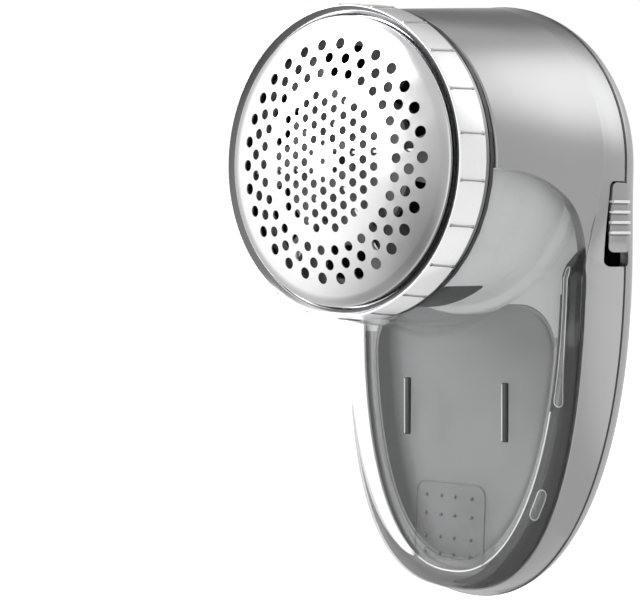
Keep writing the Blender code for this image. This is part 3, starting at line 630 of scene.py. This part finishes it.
def pocket_bowl(name, wall, front):
    """The lint pocket as a bowl with a rounded floor, grown by a wall, from a front plane back."""
    half_width = POCKET_EGG[0]
    half_height = (POCKET_TOP - POCKET_FOOT) / 2
    middle = (POCKET_TOP + POCKET_FOOT) / 2
    half = [(0.0, POCKET_TOP)]
    for i in range(1, 13):
        turn = pi / 2 * (1 - i / 12)
        across = POCKET_CORNER_X + POCKET_CORNER * cos(turn)
        half.append((across, POCKET_TOP - POCKET_CORNER * (1 - sin(turn))))
    for i in range(TOE_STEPS + 1):
        x, z = superellipse(*POCKET_EGG, i / TOE_STEPS)
        if z < POCKET_TOP - POCKET_CORNER - 0.5:
            half.append((x, z))
    planes = [(front, -wall)]
    for k in range(1, 12):
        turn = pi / 2 * k / 11
        planes.append((EDGE_DEPTH + (POCKET_DEPTH + wall) * sin(turn), 9.0 * (1 - cos(turn)) - wall))
    rings = []
    for depth, pull in planes:
        wide = 1 - pull / half_width
        tall = 1 - pull / half_height
        rings.append(on_plane([(x * wide, middle + (z - middle) * tall) for x, z in half], depth))
    return loft(name, rings)


def pocket_liner():
    """Matt grey tray in the lint pocket, with painted shade on its side walls."""
    tray = pocket_bowl("pocket_liner", -0.05, EDGE_DEPTH + 0.5)
    carve(tray, [pocket_bowl("tray_room", -0.55, EDGE_DEPTH - 2.0)])
    dressed(tray, LINER, "casing", slot="pale_plastic", degrees=40)


def seam_gasket():
    """Dark strip that fills the groove between the two halves of the case."""
    path = mirrored(egg_half(SEAM_RADIUS, SEAM_EGG))
    rows = []
    for i, (x, z) in enumerate(path):
        out = outward(path[i - 1], path[(i + 1) % len(path)])
        row = []
        for across, depth in ((0.06, -0.26), (0.06, 0.42), (-1.4, 0.42), (-1.4, -0.26)):
            u, w = x + out.x * across, z + out.y * across
            row.append((u, SEAM_DEPTH + depth + LEAN * w, w))
        rows.append(row)
    gasket = loft("seam_gasket", rows, looped=True)
    carve(gasket, [switch_slot("slot_c")])
    dressed(gasket, BLACK, "casing", slot="black_plastic", degrees=50)


def main_housing():
    housing = loft("housing_shell", casing_rings(0.0, BARREL_FRONT, EDGE_DEPTH, SEAM_DEPTH, 0.5))
    inner = casing_rings(WALL, BARREL_FRONT, EDGE_DEPTH + WALL, SEAM_DEPTH + 2, 0.0)
    inner[0] = [(x, y - 3.0, z) for x, y, z in inner[0]]
    cavity = loft("housing_cavity", inner)
    curve = box_top_profile(0.0)
    past_toe = -110.0
    below = [(10.0, curve[0][1])] + curve
    below.append((EDGE_DEPTH + LEAN * past_toe - 0.05, past_toe))
    below.append((10.0, past_toe))
    room = side_prism("lint_box_room", below)
    carve(housing, [cavity])
    carve(housing, [], [pocket_bowl("pocket_shell", POCKET_WALL, EDGE_DEPTH + 0.7)])
    carve(housing, [room, pocket_bowl("lint_pocket", 0.0, EDGE_DEPTH - 2), switch_slot("slot_a")])
    dressed(housing, SILVER, "casing", "main_housing", slot="silver_paint")


def rod(name, radius, front, back, x, z):
    """A round solid along the depth, centred on a place (x, z) of the case."""
    circle = circle_points(x, z, radius, 32)
    return loft(name, [[(p.x, depth, p.y) for p in circle] for depth in (front, back)])


def rear_cover():
    shares = [i / 14 for i in range(15)]
    cover = loft("cover_shell", cover_rings(0.0, shares, 0.3))
    inner = [
        [(x, y - WALL * share, z) for x, y, z in ring]
        for share, ring in zip(shares, cover_rings(WALL, shares, 0.0))
    ]
    inner[0] = [(x, y - 2.0, z) for x, y, z in inner[0]]
    carve(cover, [loft("cover_cavity", inner), switch_slot("slot_b")])
    tubes = []
    holes = [block("port_hole", (-4.7, 55.4, -104.0), (4.7, 59.2, -88.0))]
    holes.append(rod("led_hole", LED_RADIUS + GAP, 60.0, 80.0, 0.0, LED_HEIGHT))
    for i, (x, z) in enumerate(SCREW_PLACES):
        seam = SEAM_DEPTH + LEAN * z
        tubes.append(rod(f"tube_{i + 1}", TUBE_RADIUS, seam + 0.6, seam + 6.3, x, z))
        holes.append(rod(f"well_{i + 1}", WELL_RADIUS, seam + WELL_FLOOR, seam + 20.0, x, z))
        holes.append(rod(f"bore_{i + 1}", BORE_RADIUS, seam - 2.0, seam + 9.0, x, z))
    carve(cover, holes, tubes)
    dressed(cover, SILVER, "casing", "rear_cover", slot="silver_paint")


# ------------------------------------------------------------------ lint box


def on_box(obj, look, degrees):
    """Dress a small piece that rides on the lint box."""
    dressed(obj, look, "lint_drawer", slot="smoky_clear", degrees=degrees)


def rim_half():
    """The raised front's outline, which runs out into the casing's edge above the waist."""
    edge = egg_half(barrel_radius(EDGE_DEPTH), EDGE_EGG)
    points = []
    for x, z in edge[: CROWN_STEPS + FLANK_STEPS]:
        share = min(1.0, max(0.0, (z - WAIST_HEIGHT) / 11.0))
        band = (EDGE_EGG[0] - RIM_EGG[0]) * (1 - share * share * (3 - 2 * share))
        points.append((x - band if x > band else x, z))
    return points + [superellipse(*RIM_EGG, i / TOE_STEPS) for i in range(TOE_STEPS + 1)]


BOX_ANGLES = TOE_ANGLES + [90.0]


def box_ring(depth, reach, lean):
    half = polar_half(reach, BOX_ANGLES)
    points = [(x, depth + lean * z, z) for x, z in half]
    left = [(-x, y, z) for x, y, z in reversed(points[:-1])]
    return points + left + [(-half[0][0], depth, 12.0), (half[0][0], depth, 12.0)]


def box_shell_rings():
    rim = reach_of(rim_half())
    edge = reach_of(egg_half(barrel_radius(EDGE_DEPTH), EDGE_EGG))
    rings = []
    for pull, behind in edge_steps(0.35):
        rings.append(box_ring(BARREL_FRONT + behind, lambda a: barrel_radius(BARREL_FRONT) - pull, 0.0))
    steps = 22
    for k in range(steps):
        share = k / (steps - 1)
        depth = FACE_DEPTH - BOX_FILLET * (1 - sin(pi / 2 * share))
        reach = flare(depth, FACE_DEPTH, rim, 0.0, BOX_FILLET)
        lean = LEAN * (share * 90 + 20) / 110
        plain = barrel_radius(depth)
        if k == steps - 1:
            rings.append(box_ring(depth, lambda a: max(reach(a) - BOX_EDGE, plain), lean))
        else:
            rings.append(box_ring(depth, lambda a: min(reach(a), max(rim(a) - BOX_EDGE, plain)), lean))
    plain = barrel_radius(FACE_DEPTH)
    for k in range(1, 6):
        turn = pi / 2 * k / 5
        out = BOX_EDGE * (1 - sin(turn))
        depth = FACE_DEPTH + BOX_EDGE * (1 - cos(turn))
        rings.append(box_ring(depth, lambda a: max(plain, rim(a) - out), LEAN))
    back = EDGE_DEPTH - GAP
    for depth, share in ((back - 0.62, 0.12), (back - 0.4, 0.85), (back - 0.25, 1.0), (back, 1.0)):
        rings.append(box_ring(depth, lambda a: max(plain, rim(a) + (edge(a) - rim(a)) * share), LEAN))
    return rings


def box_cavity_rings():
    rim = reach_of(rim_half())
    rings = [box_ring(10.0, lambda a: barrel_radius(10.0) - BOX_WALL, 0.0)]
    face = FACE_DEPTH + BOX_WALL
    fillet = BOX_FILLET - BOX_WALL
    steps = 16
    for k in range(steps):
        share = k / (steps - 1)
        depth = face - fillet * (1 - sin(pi / 2 * share))
        reach = flare(depth, face, lambda a: rim(a) - BOX_WALL, BOX_WALL, fillet)
        rings.append(box_ring(depth, reach, LEAN * (share * 90 + 20) / 110))
    plain = barrel_radius(face) - BOX_WALL
    for depth in (face + 0.01, EDGE_DEPTH + 3):
        rings.append(box_ring(depth, lambda a: max(plain, rim(a) - BOX_WALL), LEAN))
    return rings


def rim_point(height):
    """(x, z) on the rim's outline and its outward direction, at a height on the +X side."""
    half = rim_half()
    for (x, z), (u, w) in zip(half, half[1:]):
        if w <= height <= z and w < z:
            t = (z - height) / (z - w)
            return Vector((x + (u - x) * t, height)), outward((x, z), (u, w))
    raise ValueError("height is off the rim")


def rail_loop(top, foot, inner, outer, turns=8):
    """Closed loop (across, height) round a long shape with round ends, running beside the rim."""
    half = (outer - inner) / 2
    middle = (outer + inner) / 2
    loop = []
    for end, start in ((top - half, 0.0), (foot + half, pi)):
        for k in range(turns + 1):
            turn = start + pi * k / turns
            loop.append((middle + half * cos(turn), end + half * sin(turn)))
    dense = []
    for (a, h), (b, g) in zip(loop, loop[1:] + loop[:1]):
        parts = max(1, int(abs(g - h) / 1.5))
        dense += [(a + (b - a) * t / parts, h + (g - h) * t / parts) for t in range(parts)]
    return dense


def beside_rim(sign, across, height, depth):
    place, out = rim_point(height)
    x, z = place + out * across
    return Vector((sign * x, depth + LEAN * z, z))


def narrowing(kind, top, foot, height):
    """Share of a rib's full width at a height."""
    if kind == "wedge":
        return 0.36 + 0.64 * min(1.0, max(0.0, (top - height) / (top - foot))) ** 4
    if kind == "tail":
        return 1 - 0.8 * max(0.0, (top - 20.0 - height) / (top - 20.0 - foot)) ** 6
    return 1.0


def box_rail(name, top, foot, inner, outer, sign, kind="even"):
    """A flat clear rib with round ends beside the rim of the box."""
    loop = rail_loop(top, foot, inner, outer)
    depth = EDGE_DEPTH - 0.75
    rings = []
    for back, pull in ((0.3, 0.0), (-0.25, 0.0), (-0.4, 0.15)):
        ring = []
        for across, height in loop:
            drawn = across + (pull if across < (inner + outer) / 2 else -pull)
            drawn = inner + (drawn - inner) * narrowing(kind, top, foot, height)
            ring.append(beside_rim(sign, drawn, height, depth + back))
        rings.append(ring)
    return loft(name, rings)


def rim_line(name, path, look):
    """A fine raised line on the rim of the box, along a path of (x, z) points; in the bright look it is a
    painted highlight.
    """
    rows = []
    for i, (x, z) in enumerate(path):
        out = outward(path[max(0, i - 1)], path[min(len(path) - 1, i + 1)])
        row = []
        for k in range(8):
            turn = 2 * pi * k / 8
            across = 0.18 * cos(turn) - 0.12
            u, w = x + out.x * across, z + out.y * across
            row.append((u, FACE_DEPTH + 0.2 + 0.18 * sin(turn) + LEAN * w, w))
        rows.append(row)
    on_box(loft(name, rows), look, 80)


def rim_lines():
    """The rim line is dark beside the upper rib, and from there round the toe and up it is a painted
    highlight.
    """
    half = [(x, z) for x, z in rim_half() if z < WAIST_HEIGHT - 1.0]
    beside_rib = [(x, z) for x, z in half if z > RIB_FOOT - 1.5]
    rest = [(x, z) for x, z in half if z < RIB_FOOT]
    rim_line("rim_line_dark", beside_rib, BUMP)
    rim_line("rim_line", rest + [(-x, z) for x, z in reversed(half[:-1])], HIGHLIGHT_LINE)


def lint_box():
    box = loft("lint_box_clear", box_shell_rings())
    cavity = loft("box_cavity", box_cavity_rings())
    above = [(5.0, 60.0), (5.0, box_top_profile(-GAP)[0][1])] + box_top_profile(-GAP)
    above += [(EDGE_DEPTH + 6, WAIST_HEIGHT - 0.02), (EDGE_DEPTH + 6, 60.0)]
    lid = side_prism("casing_side_of_box", above)
    carve(box, [cavity, lid])
    dressed(box, SMOKE, "lint_drawer", "lint_box", slot="smoky_clear")


def rim_ribs():
    """Flat ribs beside the rim: two with bright outlines that are painted highlights and a plain one at the
    right; at the left a white band that is a painted highlight.
    """
    for part, top, foot, inner, outer, kind in (
        ("upper", -22.1, RIB_FOOT, 0.1, 2.7, "wedge"),
        ("lower", -70.6, -77.0, 1.4, 3.8, "even"),
    ):
        rail = box_rail(f"box_rail_{part}", top, foot, inner, outer, 1, kind)
        on_box(rail, RAIL, 60)
        points = []
        for across, height in rail_loop(top, foot, inner, outer):
            drawn = inner + (across - inner) * narrowing(kind, top, foot, height)
            points.append(beside_rim(1, drawn, height, EDGE_DEPTH - 1.15))
        # Bright outline round the rib: painted highlight.
        outline = tube(f"box_rail_{part}_edge", points, 0.13)
        on_box(outline, HIGHLIGHT_LINE, 80)
    panel = box_rail("box_rail_middle", -22.6, -39.6, 1.7, 4.5, 1)
    on_box(panel, RAIL, 60)
    # White band at the left: painted highlight.
    band = box_rail("box_left_highlight", -24.0, -89.0, 0.35, 4.9, -1, "tail")
    on_box(band, LEFT_HIGHLIGHT, 60)


def grip_bars():
    """Two upright bars on the front of the box, made near black as painted shade, each with a bright line
    down it that is a painted highlight.
    """
    for sign, side in ((1, "right"), (-1, "left")):
        x = 0.5 + sign * 14.1
        depth = FACE_DEPTH + LEAN * -54.2
        bar = block(f"grip_bar_{side}", (x - 0.75, depth - 0.7, -61.6), (x + 0.75, depth + 0.3, -48.3), 0.3)
        # Near black bar: painted shade.
        on_box(bar, BAR, 60)
        low, high = (x - 0.62, depth - 0.78, -61.3), (x - 0.38, depth, -48.6)
        # Bright sliver down the bar: painted highlight.
        glint = block(f"grip_bar_{side}_glint", low, high, 0.08)
        on_box(glint, HIGHLIGHT_LINE, 60)


def grip_pad():
    """A thin raised patch with rounded top corners and four rows of small bumps."""
    top, foot, half, radius = -71.9, -89.4, 9.9, 2.6
    outline = []
    for centre, start in (((half - radius, top - radius), 90), ((half - 0.4, foot + 0.4), 0)):
        size = radius if start == 90 else 0.4
        for k in range(9):
            turn = radians(start - 90 * k / 8)
            outline.append((centre[0] + size * cos(turn), centre[1] + size * sin(turn)))
    full = outline + [(-x, z) for x, z in reversed(outline)]
    rings = []
    for depth, pull in ((0.15, 0.0), (-0.12, 0.0), (-0.22, 0.1)):
        shrink = 1 - pull / half
        middle = (top + foot) / 2
        ring = [(x * shrink, FACE_DEPTH + depth + LEAN * z, middle + (z - middle) * shrink) for x, z in full]
        rings.append(ring)
    pad = loft("grip_pad", rings)
    on_box(pad, PAD, 30)

    points = [Vector((x, FACE_DEPTH - 0.2 + LEAN * z, z)) for x, z in full]
    on_box(tube("grip_pad_edge", points, 0.1), BUMP, 80)

    def build(work):
        for x in (-7.0, -2.6, 1.4, 6.2):
            for z in (-75.0, -79.3, -84.4, -88.2):
                made = bmesh.ops.create_uvsphere(work, u_segments=12, v_segments=8, radius=0.42 * MM)
                spot = put(x, FACE_DEPTH - 0.2 + LEAN * z, z)
                for vert in made["verts"]:
                    vert.co = Vector((vert.co.x, vert.co.y * 0.7, vert.co.z)) + spot

    bumps = piece("grip_bumps", build)
    on_box(bumps, BUMP, 80)


def box_shade_strip(name, start, stop, front, back, look, body, toe=0.0, fading=9.0):
    """A dark strip that stands in for shade (painted shade), down the switch side of the box, between two
    shares of its skirt's width.

    It runs between two depths, from an angle at the toe, where it fades in over
    some degrees. A negative angle starts it on the other side of the toe.
    """
    angles = sorted([a for a in TOE_ANGLES if toe < a < 68.0] + [-a for a in TOE_ANGLES if 0 < a < -toe])
    outer = reach_of(egg_half(barrel_radius(EDGE_DEPTH), inset_egg(EDGE_EGG, 0.35)))
    inner = reach_of(rim_half())
    rows = []
    for degrees in angles:
        angle = radians(degrees)
        wide = max(0.1, outer(abs(angle)) - inner(abs(angle)))
        fade = min(1.0, (degrees - toe) / fading)
        high = inner(abs(angle)) + wide * stop
        low = high - wide * (stop - start) * (0.12 + 0.88 * fade)
        row = []
        for radius, depth in ((low, back), (high, back), (high, front), (low, front)):
            z = HEAD_DROP - radius * cos(angle)
            row.append((radius * sin(angle), depth + LEAN * z, z))
        rows.append(row)
    strip = loft(name, rows)
    dressed(strip, look, body, slot="dark_plastic", degrees=60)


# ------------------------------------------------------------------ cutting head


def foil_holes():
    """(x, z, radius) of every hole in the foil."""
    holes = [(0.0, 0.0, 0.68)]
    for i in range(6):
        angle = radians(30 + 60 * i)
        holes.append((3.84 * cos(angle), 3.84 * sin(angle), 0.68))
    for i in range(-5, 6):
        for j in range(-5, 6):
            x = HOLE_PITCH * cos(radians(30)) * j
            z = HOLE_PITCH * (i + 0.5 * j)
            if 1.2 * HOLE_PITCH < hypot(x, z) <= 4.7 * HOLE_PITCH:
                holes.append((x, z, 0.95))
    for ring_radius, offset, radius in HOLE_RINGS:
        for i in range(HOLES_PER_RING):
            angle = radians(offset + 360 * i / HOLES_PER_RING)
            holes.append((ring_radius * cos(angle), ring_radius * sin(angle), radius))
    return holes


def circle_points(x, z, radius, count):
    turns = [2 * pi * i / count for i in range(count)]
    return [Vector((x + radius * cos(turn), z + radius * sin(turn))) for turn in turns]


def foil():
    """A perforated dome with a rolled rim: meshed flat round its holes, then raised."""
    rim_count = 120
    holes = foil_holes()
    points = circle_points(0, 0, FOIL_RADIUS - FOIL_ROLL, rim_count)
    edges = [(i, (i + 1) % rim_count) for i in range(rim_count)]
    for x, z, radius in holes:
        start = len(points)
        points += circle_points(x, z, radius, HOLE_SIDES)
        edges += [(start + i, start + (i + 1) % HOLE_SIDES) for i in range(HOLE_SIDES)]
    for radius, count in ((28.4, 90), (26.9, 80), (16.6, 40)):
        points += circle_points(0, 0, radius, count)
    flat = delaunay_2d_cdt(points, edges, [], 1, 1e-5)

    def in_a_hole(face):
        middle = sum((flat[0][i] for i in face), Vector((0, 0))) / len(face)
        return any(hypot(middle.x - x, middle.y - z) < radius * 0.995 for x, z, radius in holes)

    def build(work):
        verts = [work.verts.new(put(p.x, DOME_RATE * p.length_squared, p.y)) for p in flat[0]]
        for face in flat[2]:
            if not in_a_hole(face):
                work.faces.new([verts[i] for i in face])
        ring = verts[:rim_count]
        edge = DOME_RATE * (FOIL_RADIUS - FOIL_ROLL) ** 2
        rim = []
        for k in range(1, 6):
            turn = pi / 2 * k / 5
            radius = FOIL_RADIUS - FOIL_ROLL * (1 - sin(turn))
            rim.append((radius, edge + 0.08 + FOIL_ROLL * (1 - cos(turn))))
        rim += [(FOIL_RADIUS, 7.0), (31.5, 7.15)]
        for radius, depth in rim:
            outer = [work.verts.new(put(p.x, depth, p.y)) for p in circle_points(0, 0, radius, rim_count)]
            for i in range(rim_count):
                j = (i + 1) % rim_count
                work.faces.new((ring[i], ring[j], outer[j], outer[i]))
            ring = outer

    part = piece("foil_sheet", build)
    shell = part.modifiers.new("sheet", "SOLIDIFY")
    shell.thickness = FOIL_THICKNESS * MM
    shell.offset = -1.0
    carve(part)
    dressed(part, STEEL, "foil_set", "foil", slot="polished_steel", degrees=40)


RIB_PARTS = (
    ((32.7, 5.0, -0.22), (33.30, 11.9, 0.22)),
    ((32.7, 4.9, -0.38), (33.32, 5.6, 0.38)),
    ((33.1, 11.3, -0.38), (33.88, 11.95, 0.38)),
)


def ring_part(name, profile, rounding, look, *replaced):
    """A part of the guard ring, turned from a (radius, depth) profile."""
    part = turned(name, rounded(profile, rounding), 180)
    dressed(part, look, "guard", *replaced, slot="bright_plate", degrees=50)


def guard_ring():
    body = [
        (32.78, RING_FRONT + 0.02),
        (33.05, RING_FRONT + 0.2),
        (33.75, RING_BACK - 1.35),
        (32.4, RING_BACK - 1.35),
        (31.8, RING_FRONT + 1.2),
        (32.4, RING_FRONT + 0.5),
    ]
    ring_part("guard_ring_body", body, 0.2, RING, "guard_ring")
    lip = [
        (31.35, RING_FRONT + 0.95),
        (32.78, RING_FRONT + 0.05),
        (32.9, RING_FRONT + 0.4),
        (31.8, RING_FRONT + 1.9),
        (31.35, RING_FRONT + 1.9),
    ]
    # Darker copy of the ring's metal on its front face: painted shade.
    ring_part("guard_ring_lip", lip, 0.08, LIP)
    hem = [
        (32.4, RING_BACK - 1.3),
        (33.45, RING_BACK - 1.3),
        (33.45, RING_BACK),
        (31.8, RING_BACK),
        (31.8, RING_BACK - 0.8),
    ]
    ring_part("guard_ring_hem", hem, 0.15, HEM)
    # The long block of each rib widens backwards, much as the body's outer face does.
    slope = (33.75 - 33.05) / (RING_BACK - 1.35 - RING_FRONT - 0.3)
    centre = put(0, 0, 0)
    ribs = None
    for i in range(RING_RIBS):
        turn = pi / 2 + 2 * pi * i / RING_RIBS
        for k, (low, high) in enumerate(RIB_PARTS):
            rib = block(f"rib_{i + 1}_{k + 1}", low, high, 0.16)
            spin = Matrix.Translation(centre) @ Matrix.Rotation(-turn, 4, "Y") @ Matrix.Translation(-centre)
            for vert in rib.data.vertices:
                depth = vert.co.y / MM - HEAD.y
                if vert.co.x / MM - HEAD.x > 33.2 and k == 0:
                    vert.co.x += slope * (depth - RING_FRONT) * MM
            rib.data.transform(spin)
            if ribs is None:
                ribs = rib
                continue
            work = bmesh.new()
            work.from_mesh(ribs.data)
            work.from_mesh(rib.data)
            work.to_mesh(ribs.data)
            work.free()
            bpy.data.objects.remove(rib, do_unlink=True)
    ribs.name = "guard_ring_ribs"
    # Ribs in a darker copy of the ring's metal so they read as lines: painted shade.
    dressed(ribs, RIB, "guard", slot="bright_plate", degrees=50)


def chamber_flange():
    """Thin plate round the chamber's back that closes the gap to the inside of the casing."""
    outline = egg_half(barrel_radius(EDGE_DEPTH) - 1.0, inset_egg(EDGE_EGG, 1.0))
    plate = loft("chamber_flange", [on_plane(outline, EDGE_DEPTH + step) for step in (0.1, 1.3)])
    bore = [[(p.x, depth, p.y) for p in circle_points(0, 0, 31.0, 96)] for depth in (40.0, 60.0)]
    above = block("above_the_flange", (-60.0, 40.0, -2.0), (60.0, 60.0, 60.0), 0.1)
    below = block("below_the_flange", (-60.0, 40.0, -120.0), (60.0, 60.0, -38.0), 0.1)
    pocket = pocket_bowl("flange_pocket", 0.3, EDGE_DEPTH - 2)
    carve(plate, [loft("flange_bore", bore), above, below, pocket])
    return plate


def cutter_chamber():
    pocket = 12.6
    profile = (
        (29.9, 8.2),
        (31.4, 8.2),
        (31.4, 44.6),
        (33.1, 45.8),
        (33.4, 47.4),
        (33.4, 50.6),
        (29.9, 50.6),
        (29.9, 35.6),
        (pocket + 4.2, 35.6),
        (pocket, 33.0),
        (pocket, 21.7),
        (3.6, 21.7),
        (3.6, 20.1),
        (pocket + 1.0, 20.1),
        (pocket + 4.8, 34.0),
        (29.9, 34.0),
    )
    chamber = turned("chamber_wall", rounded(profile, 0.4, 2), 144)
    carve(chamber, [block("outlet_cut", (-15.0, 19.0, -40.0), (17.0, 33.8, -22.0), 1.2)])
    carve(chamber, [], [chamber_flange()])
    dressed(chamber, GREY, "casing", "cutter_chamber", slot="pale_plastic", degrees=40)
    # The chamber's inside, behind the foil and in the outlet, is dark: painted shade.
    chamber.data.materials.append(DARK)
    for face in chamber.data.polygons:
        place = face.center / MM - HEAD
        if hypot(place.x, place.z) < 30.6 and place.y < 34.3:
            face.material_index = 1


def swollen_casing(name, swell):
    """The whole casing's outside, grown by a small amount, over the depths of the switch."""
    rings = []
    for depth, egg, crown in (
        (EDGE_DEPTH, EDGE_EGG, barrel_radius(EDGE_DEPTH)),
        (SEAM_DEPTH, SEAM_EGG, SEAM_RADIUS),
    ):
        rings.append(on_plane(egg_half(crown + swell, inset_egg(egg, -swell)), depth))
    return loft(name, rings + cover_rings(-swell, (0.1, 0.2, 0.3, 0.4), 0.0))


def meet(obj, other):
    modifier = obj.modifiers.new(other.name, "BOOLEAN")
    modifier.operation = "INTERSECT"
    modifier.object = other
    modifier.solver = "MANIFOLD"
    carve(obj)
    bpy.data.objects.remove(other, do_unlink=True)
    return obj


def knob_bars(name, low_z, high_z, swell, width):
    """Four bars across the knob, standing out by a small amount."""
    bars = []
    for i in range(4):
        down = KNOB_PITCH * i
        bar = block(f"{name}_{i + 1}", (37.0, 51.45, low_z - down), (44.0, 56.3, high_z - down), width)
        bars.append(meet(bar, swollen_casing("bar_limit", swell)))
    first = bars[0]
    carve(first, [], bars[1:])
    first.name = name
    return first


def switch_knob():
    knob = meet(
        block("knob_face", (36.3, 51.5, -19.25), (44.0, 56.35, -4.1), 1.15),
        swollen_casing("knob_limit", 0.30),
    )
    dressed(knob, SILVER, "switch", "switch_knob", slot="silver_paint", degrees=35)
    # The ribs get the bright ring finish: painted highlight.
    ribs = knob_bars("knob_ribs", -8.55, -7.95, 0.9, 0.2)
    dressed(ribs, RING, "switch", slot="silver_paint", degrees=35)
    # Dark strips under the ribs, standing out slightly: painted shadow.
    rib_shadows = knob_bars("knob_rib_shadows", -8.95, -8.55, 0.34, 0.05)
    dressed(rib_shadows, HEM, "switch", slot="silver_paint", degrees=35)


def cad_node(name, look):
    obj = frame["nodes"][name]
    obj.data.materials.clear()
    obj.data.materials.append(look)


# ------------------------------------------------------------------ scene


def camera():
    data = bpy.data.cameras.new("camera")
    data.lens = 101.25
    data.sensor_width = 36.0
    data.clip_start = 0.01
    cam = bpy.data.objects.new("camera", data)
    azimuth, elevation, roll = (radians(degrees) for degrees in CAMERA_TURN)
    turn = (
        Matrix.Rotation(azimuth, 4, "Z")
        @ Matrix.Rotation(pi / 2 - elevation, 4, "X")
        @ Matrix.Rotation(roll, 4, "Z")
    )
    cam.matrix_world = Matrix.Translation(put(*CAMERA_PLACE)) @ turn
    bpy.context.scene.collection.objects.link(cam)
    bpy.context.scene.camera = cam


def floor():
    def build(work):
        bmesh.ops.create_grid(work, x_segments=1, y_segments=1, size=3.0)

    plane = piece("floor", build)
    plane.location.z = -FLOOR_DROP * MM
    look = Look("floor", (0.93, 0.93, 0.93), 0.6, emission_strength=0.45)
    look.set("Emission Color", (1.0, 1.0, 1.0, 1.0))
    look.vary_colour(look.noise(3.0), 0.004)
    plane.data.materials.append(look.material)
    plane.visible_glossy = False


def world():
    """Soft white surround with brighter and darker parts, and a white backdrop."""
    scene_world = bpy.data.worlds.new("studio")
    bpy.context.scene.world = scene_world
    scene_world.use_nodes = True
    tree = scene_world.node_tree
    background = tree.nodes["Background"]
    new = tree.nodes.new
    link = tree.links.new
    coords = new("ShaderNodeTexCoord")
    total = None
    lobes = (
        ((0.0, 1.0, 0.0), 0.30, 0.10),
        ((0.37, 0.76, 0.53), 0.895, 1.30),
        ((-0.43, 0.74, 0.52), 0.93, -0.50),
        ((-0.76, -0.65, 0.08), 0.80, 0.86),
        ((-0.30, -0.80, -0.52), 0.80, -0.26),
        ((0.02, -0.98, -0.20), 0.83, -0.17),
        ((-0.62, -0.28, 0.73), 0.86, 1.1),
        ((0.88, -0.47, -0.03), 0.74, 0.42),
    )
    for direction, start, gain in lobes:
        dot = new("ShaderNodeVectorMath")
        dot.operation = "DOT_PRODUCT"
        dot.inputs[1].default_value = Vector(direction).normalized()
        link(coords.outputs["Generated"], dot.inputs[0])
        ranged = new("ShaderNodeMapRange")
        ranged.interpolation_type = "SMOOTHSTEP"
        ranged.inputs["From Min"].default_value = start
        ranged.inputs["From Max"].default_value = 1.0
        ranged.inputs["To Min"].default_value = 0.0
        ranged.inputs["To Max"].default_value = gain
        link(dot.outputs["Value"], ranged.inputs["Value"])
        add = new("ShaderNodeMath")
        add.operation = "ADD"
        link(ranged.outputs["Result"], add.inputs[0])
        if total is None:
            add.inputs[1].default_value = BASE_LIGHT
        else:
            link(total, add.inputs[1])
        total = add.outputs["Value"]
    path = new("ShaderNodeLightPath")
    mix = new("ShaderNodeMix")
    mix.data_type = "FLOAT"
    mix.inputs[3].default_value = 1.0
    link(path.outputs["Is Camera Ray"], mix.inputs[0])
    link(total, mix.inputs[2])
    link(mix.outputs[0], background.inputs["Strength"])
    background.inputs["Color"].default_value = (1, 1, 1, 1)


def area_light(name, place, target, size, power):
    data = bpy.data.lights.new(name, "AREA")
    data.shape = "RECTANGLE"
    data.size, data.size_y = size
    data.energy = power
    light = bpy.data.objects.new(name, data)
    light.location = place
    light.rotation_euler = (Vector(target) - Vector(place)).to_track_quat("-Z", "Y").to_euler()
    bpy.context.scene.collection.objects.link(light)


camera()
world()
floor()
main_housing()
rear_cover()
seam_gasket()
pocket_liner()
lint_box()
rim_ribs()
grip_bars()
rim_lines()
grip_pad()
# Dark strips behind and in the box's skirt: painted shade where its edge looks dark.
box_shade_strip("box_back_shade", 0.76, 0.95, 48.76, 48.95, BLACK, "casing")
box_shade_strip("box_back_shade_inner", -0.2, 0.75, 48.76, 48.95, BACK_SHADE, "casing")
box_shade_strip("skirt_shade", 0.36, 0.98, 47.92, 48.04, SHADE, "lint_drawer", 1.5)
box_shade_strip("skirt_shade_tint", 0.30, 0.98, 47.64, 47.72, SHADE_TINT, "lint_drawer", -30.0, 24.0)
box_shade_strip("skirt_shade_lip", 0.74, 1.0, 47.78, 47.9, SHADE, "lint_drawer", 4.0)
foil()
guard_ring()
cutter_chamber()
switch_knob()
LOOKS = (
    ("rotor_disc", ROTOR),
    ("motor_end_bell", WHITE),
    ("blade", BRIGHT_STEEL),
    (("head_seal", "foil_carrier", "drive_hub", "slide_switch_body", "battery_holder"), DARK),
    (("rear_screw", "motor_screw", "motor_shaft", "motor_can"), BRIGHT_STEEL),
    (("rotor_spring", "charge_socket"), BRIGHT_STEEL),
    (("slide_switch_lever", "motor_wire_2", "battery_wire_2"), BLACK),
    (("motor_wire_1", "battery_wire_1"), RED),
    ("motor_terminal", BRASS),
    ("circuit_board", BOARD),
    ("battery_cell", CELL_WRAP),
    ("charge_led", LENS),
)
for node in frame["nodes"]:
    for starts, look in LOOKS:
        if node.startswith(starts):
            cad_node(node, look)
area_light("key", (-0.55, -0.65, 0.45), (0, 0, 0.08), (0.6, 0.6), 6.0)
bpy.context.scene.view_settings.view_transform = "Standard"
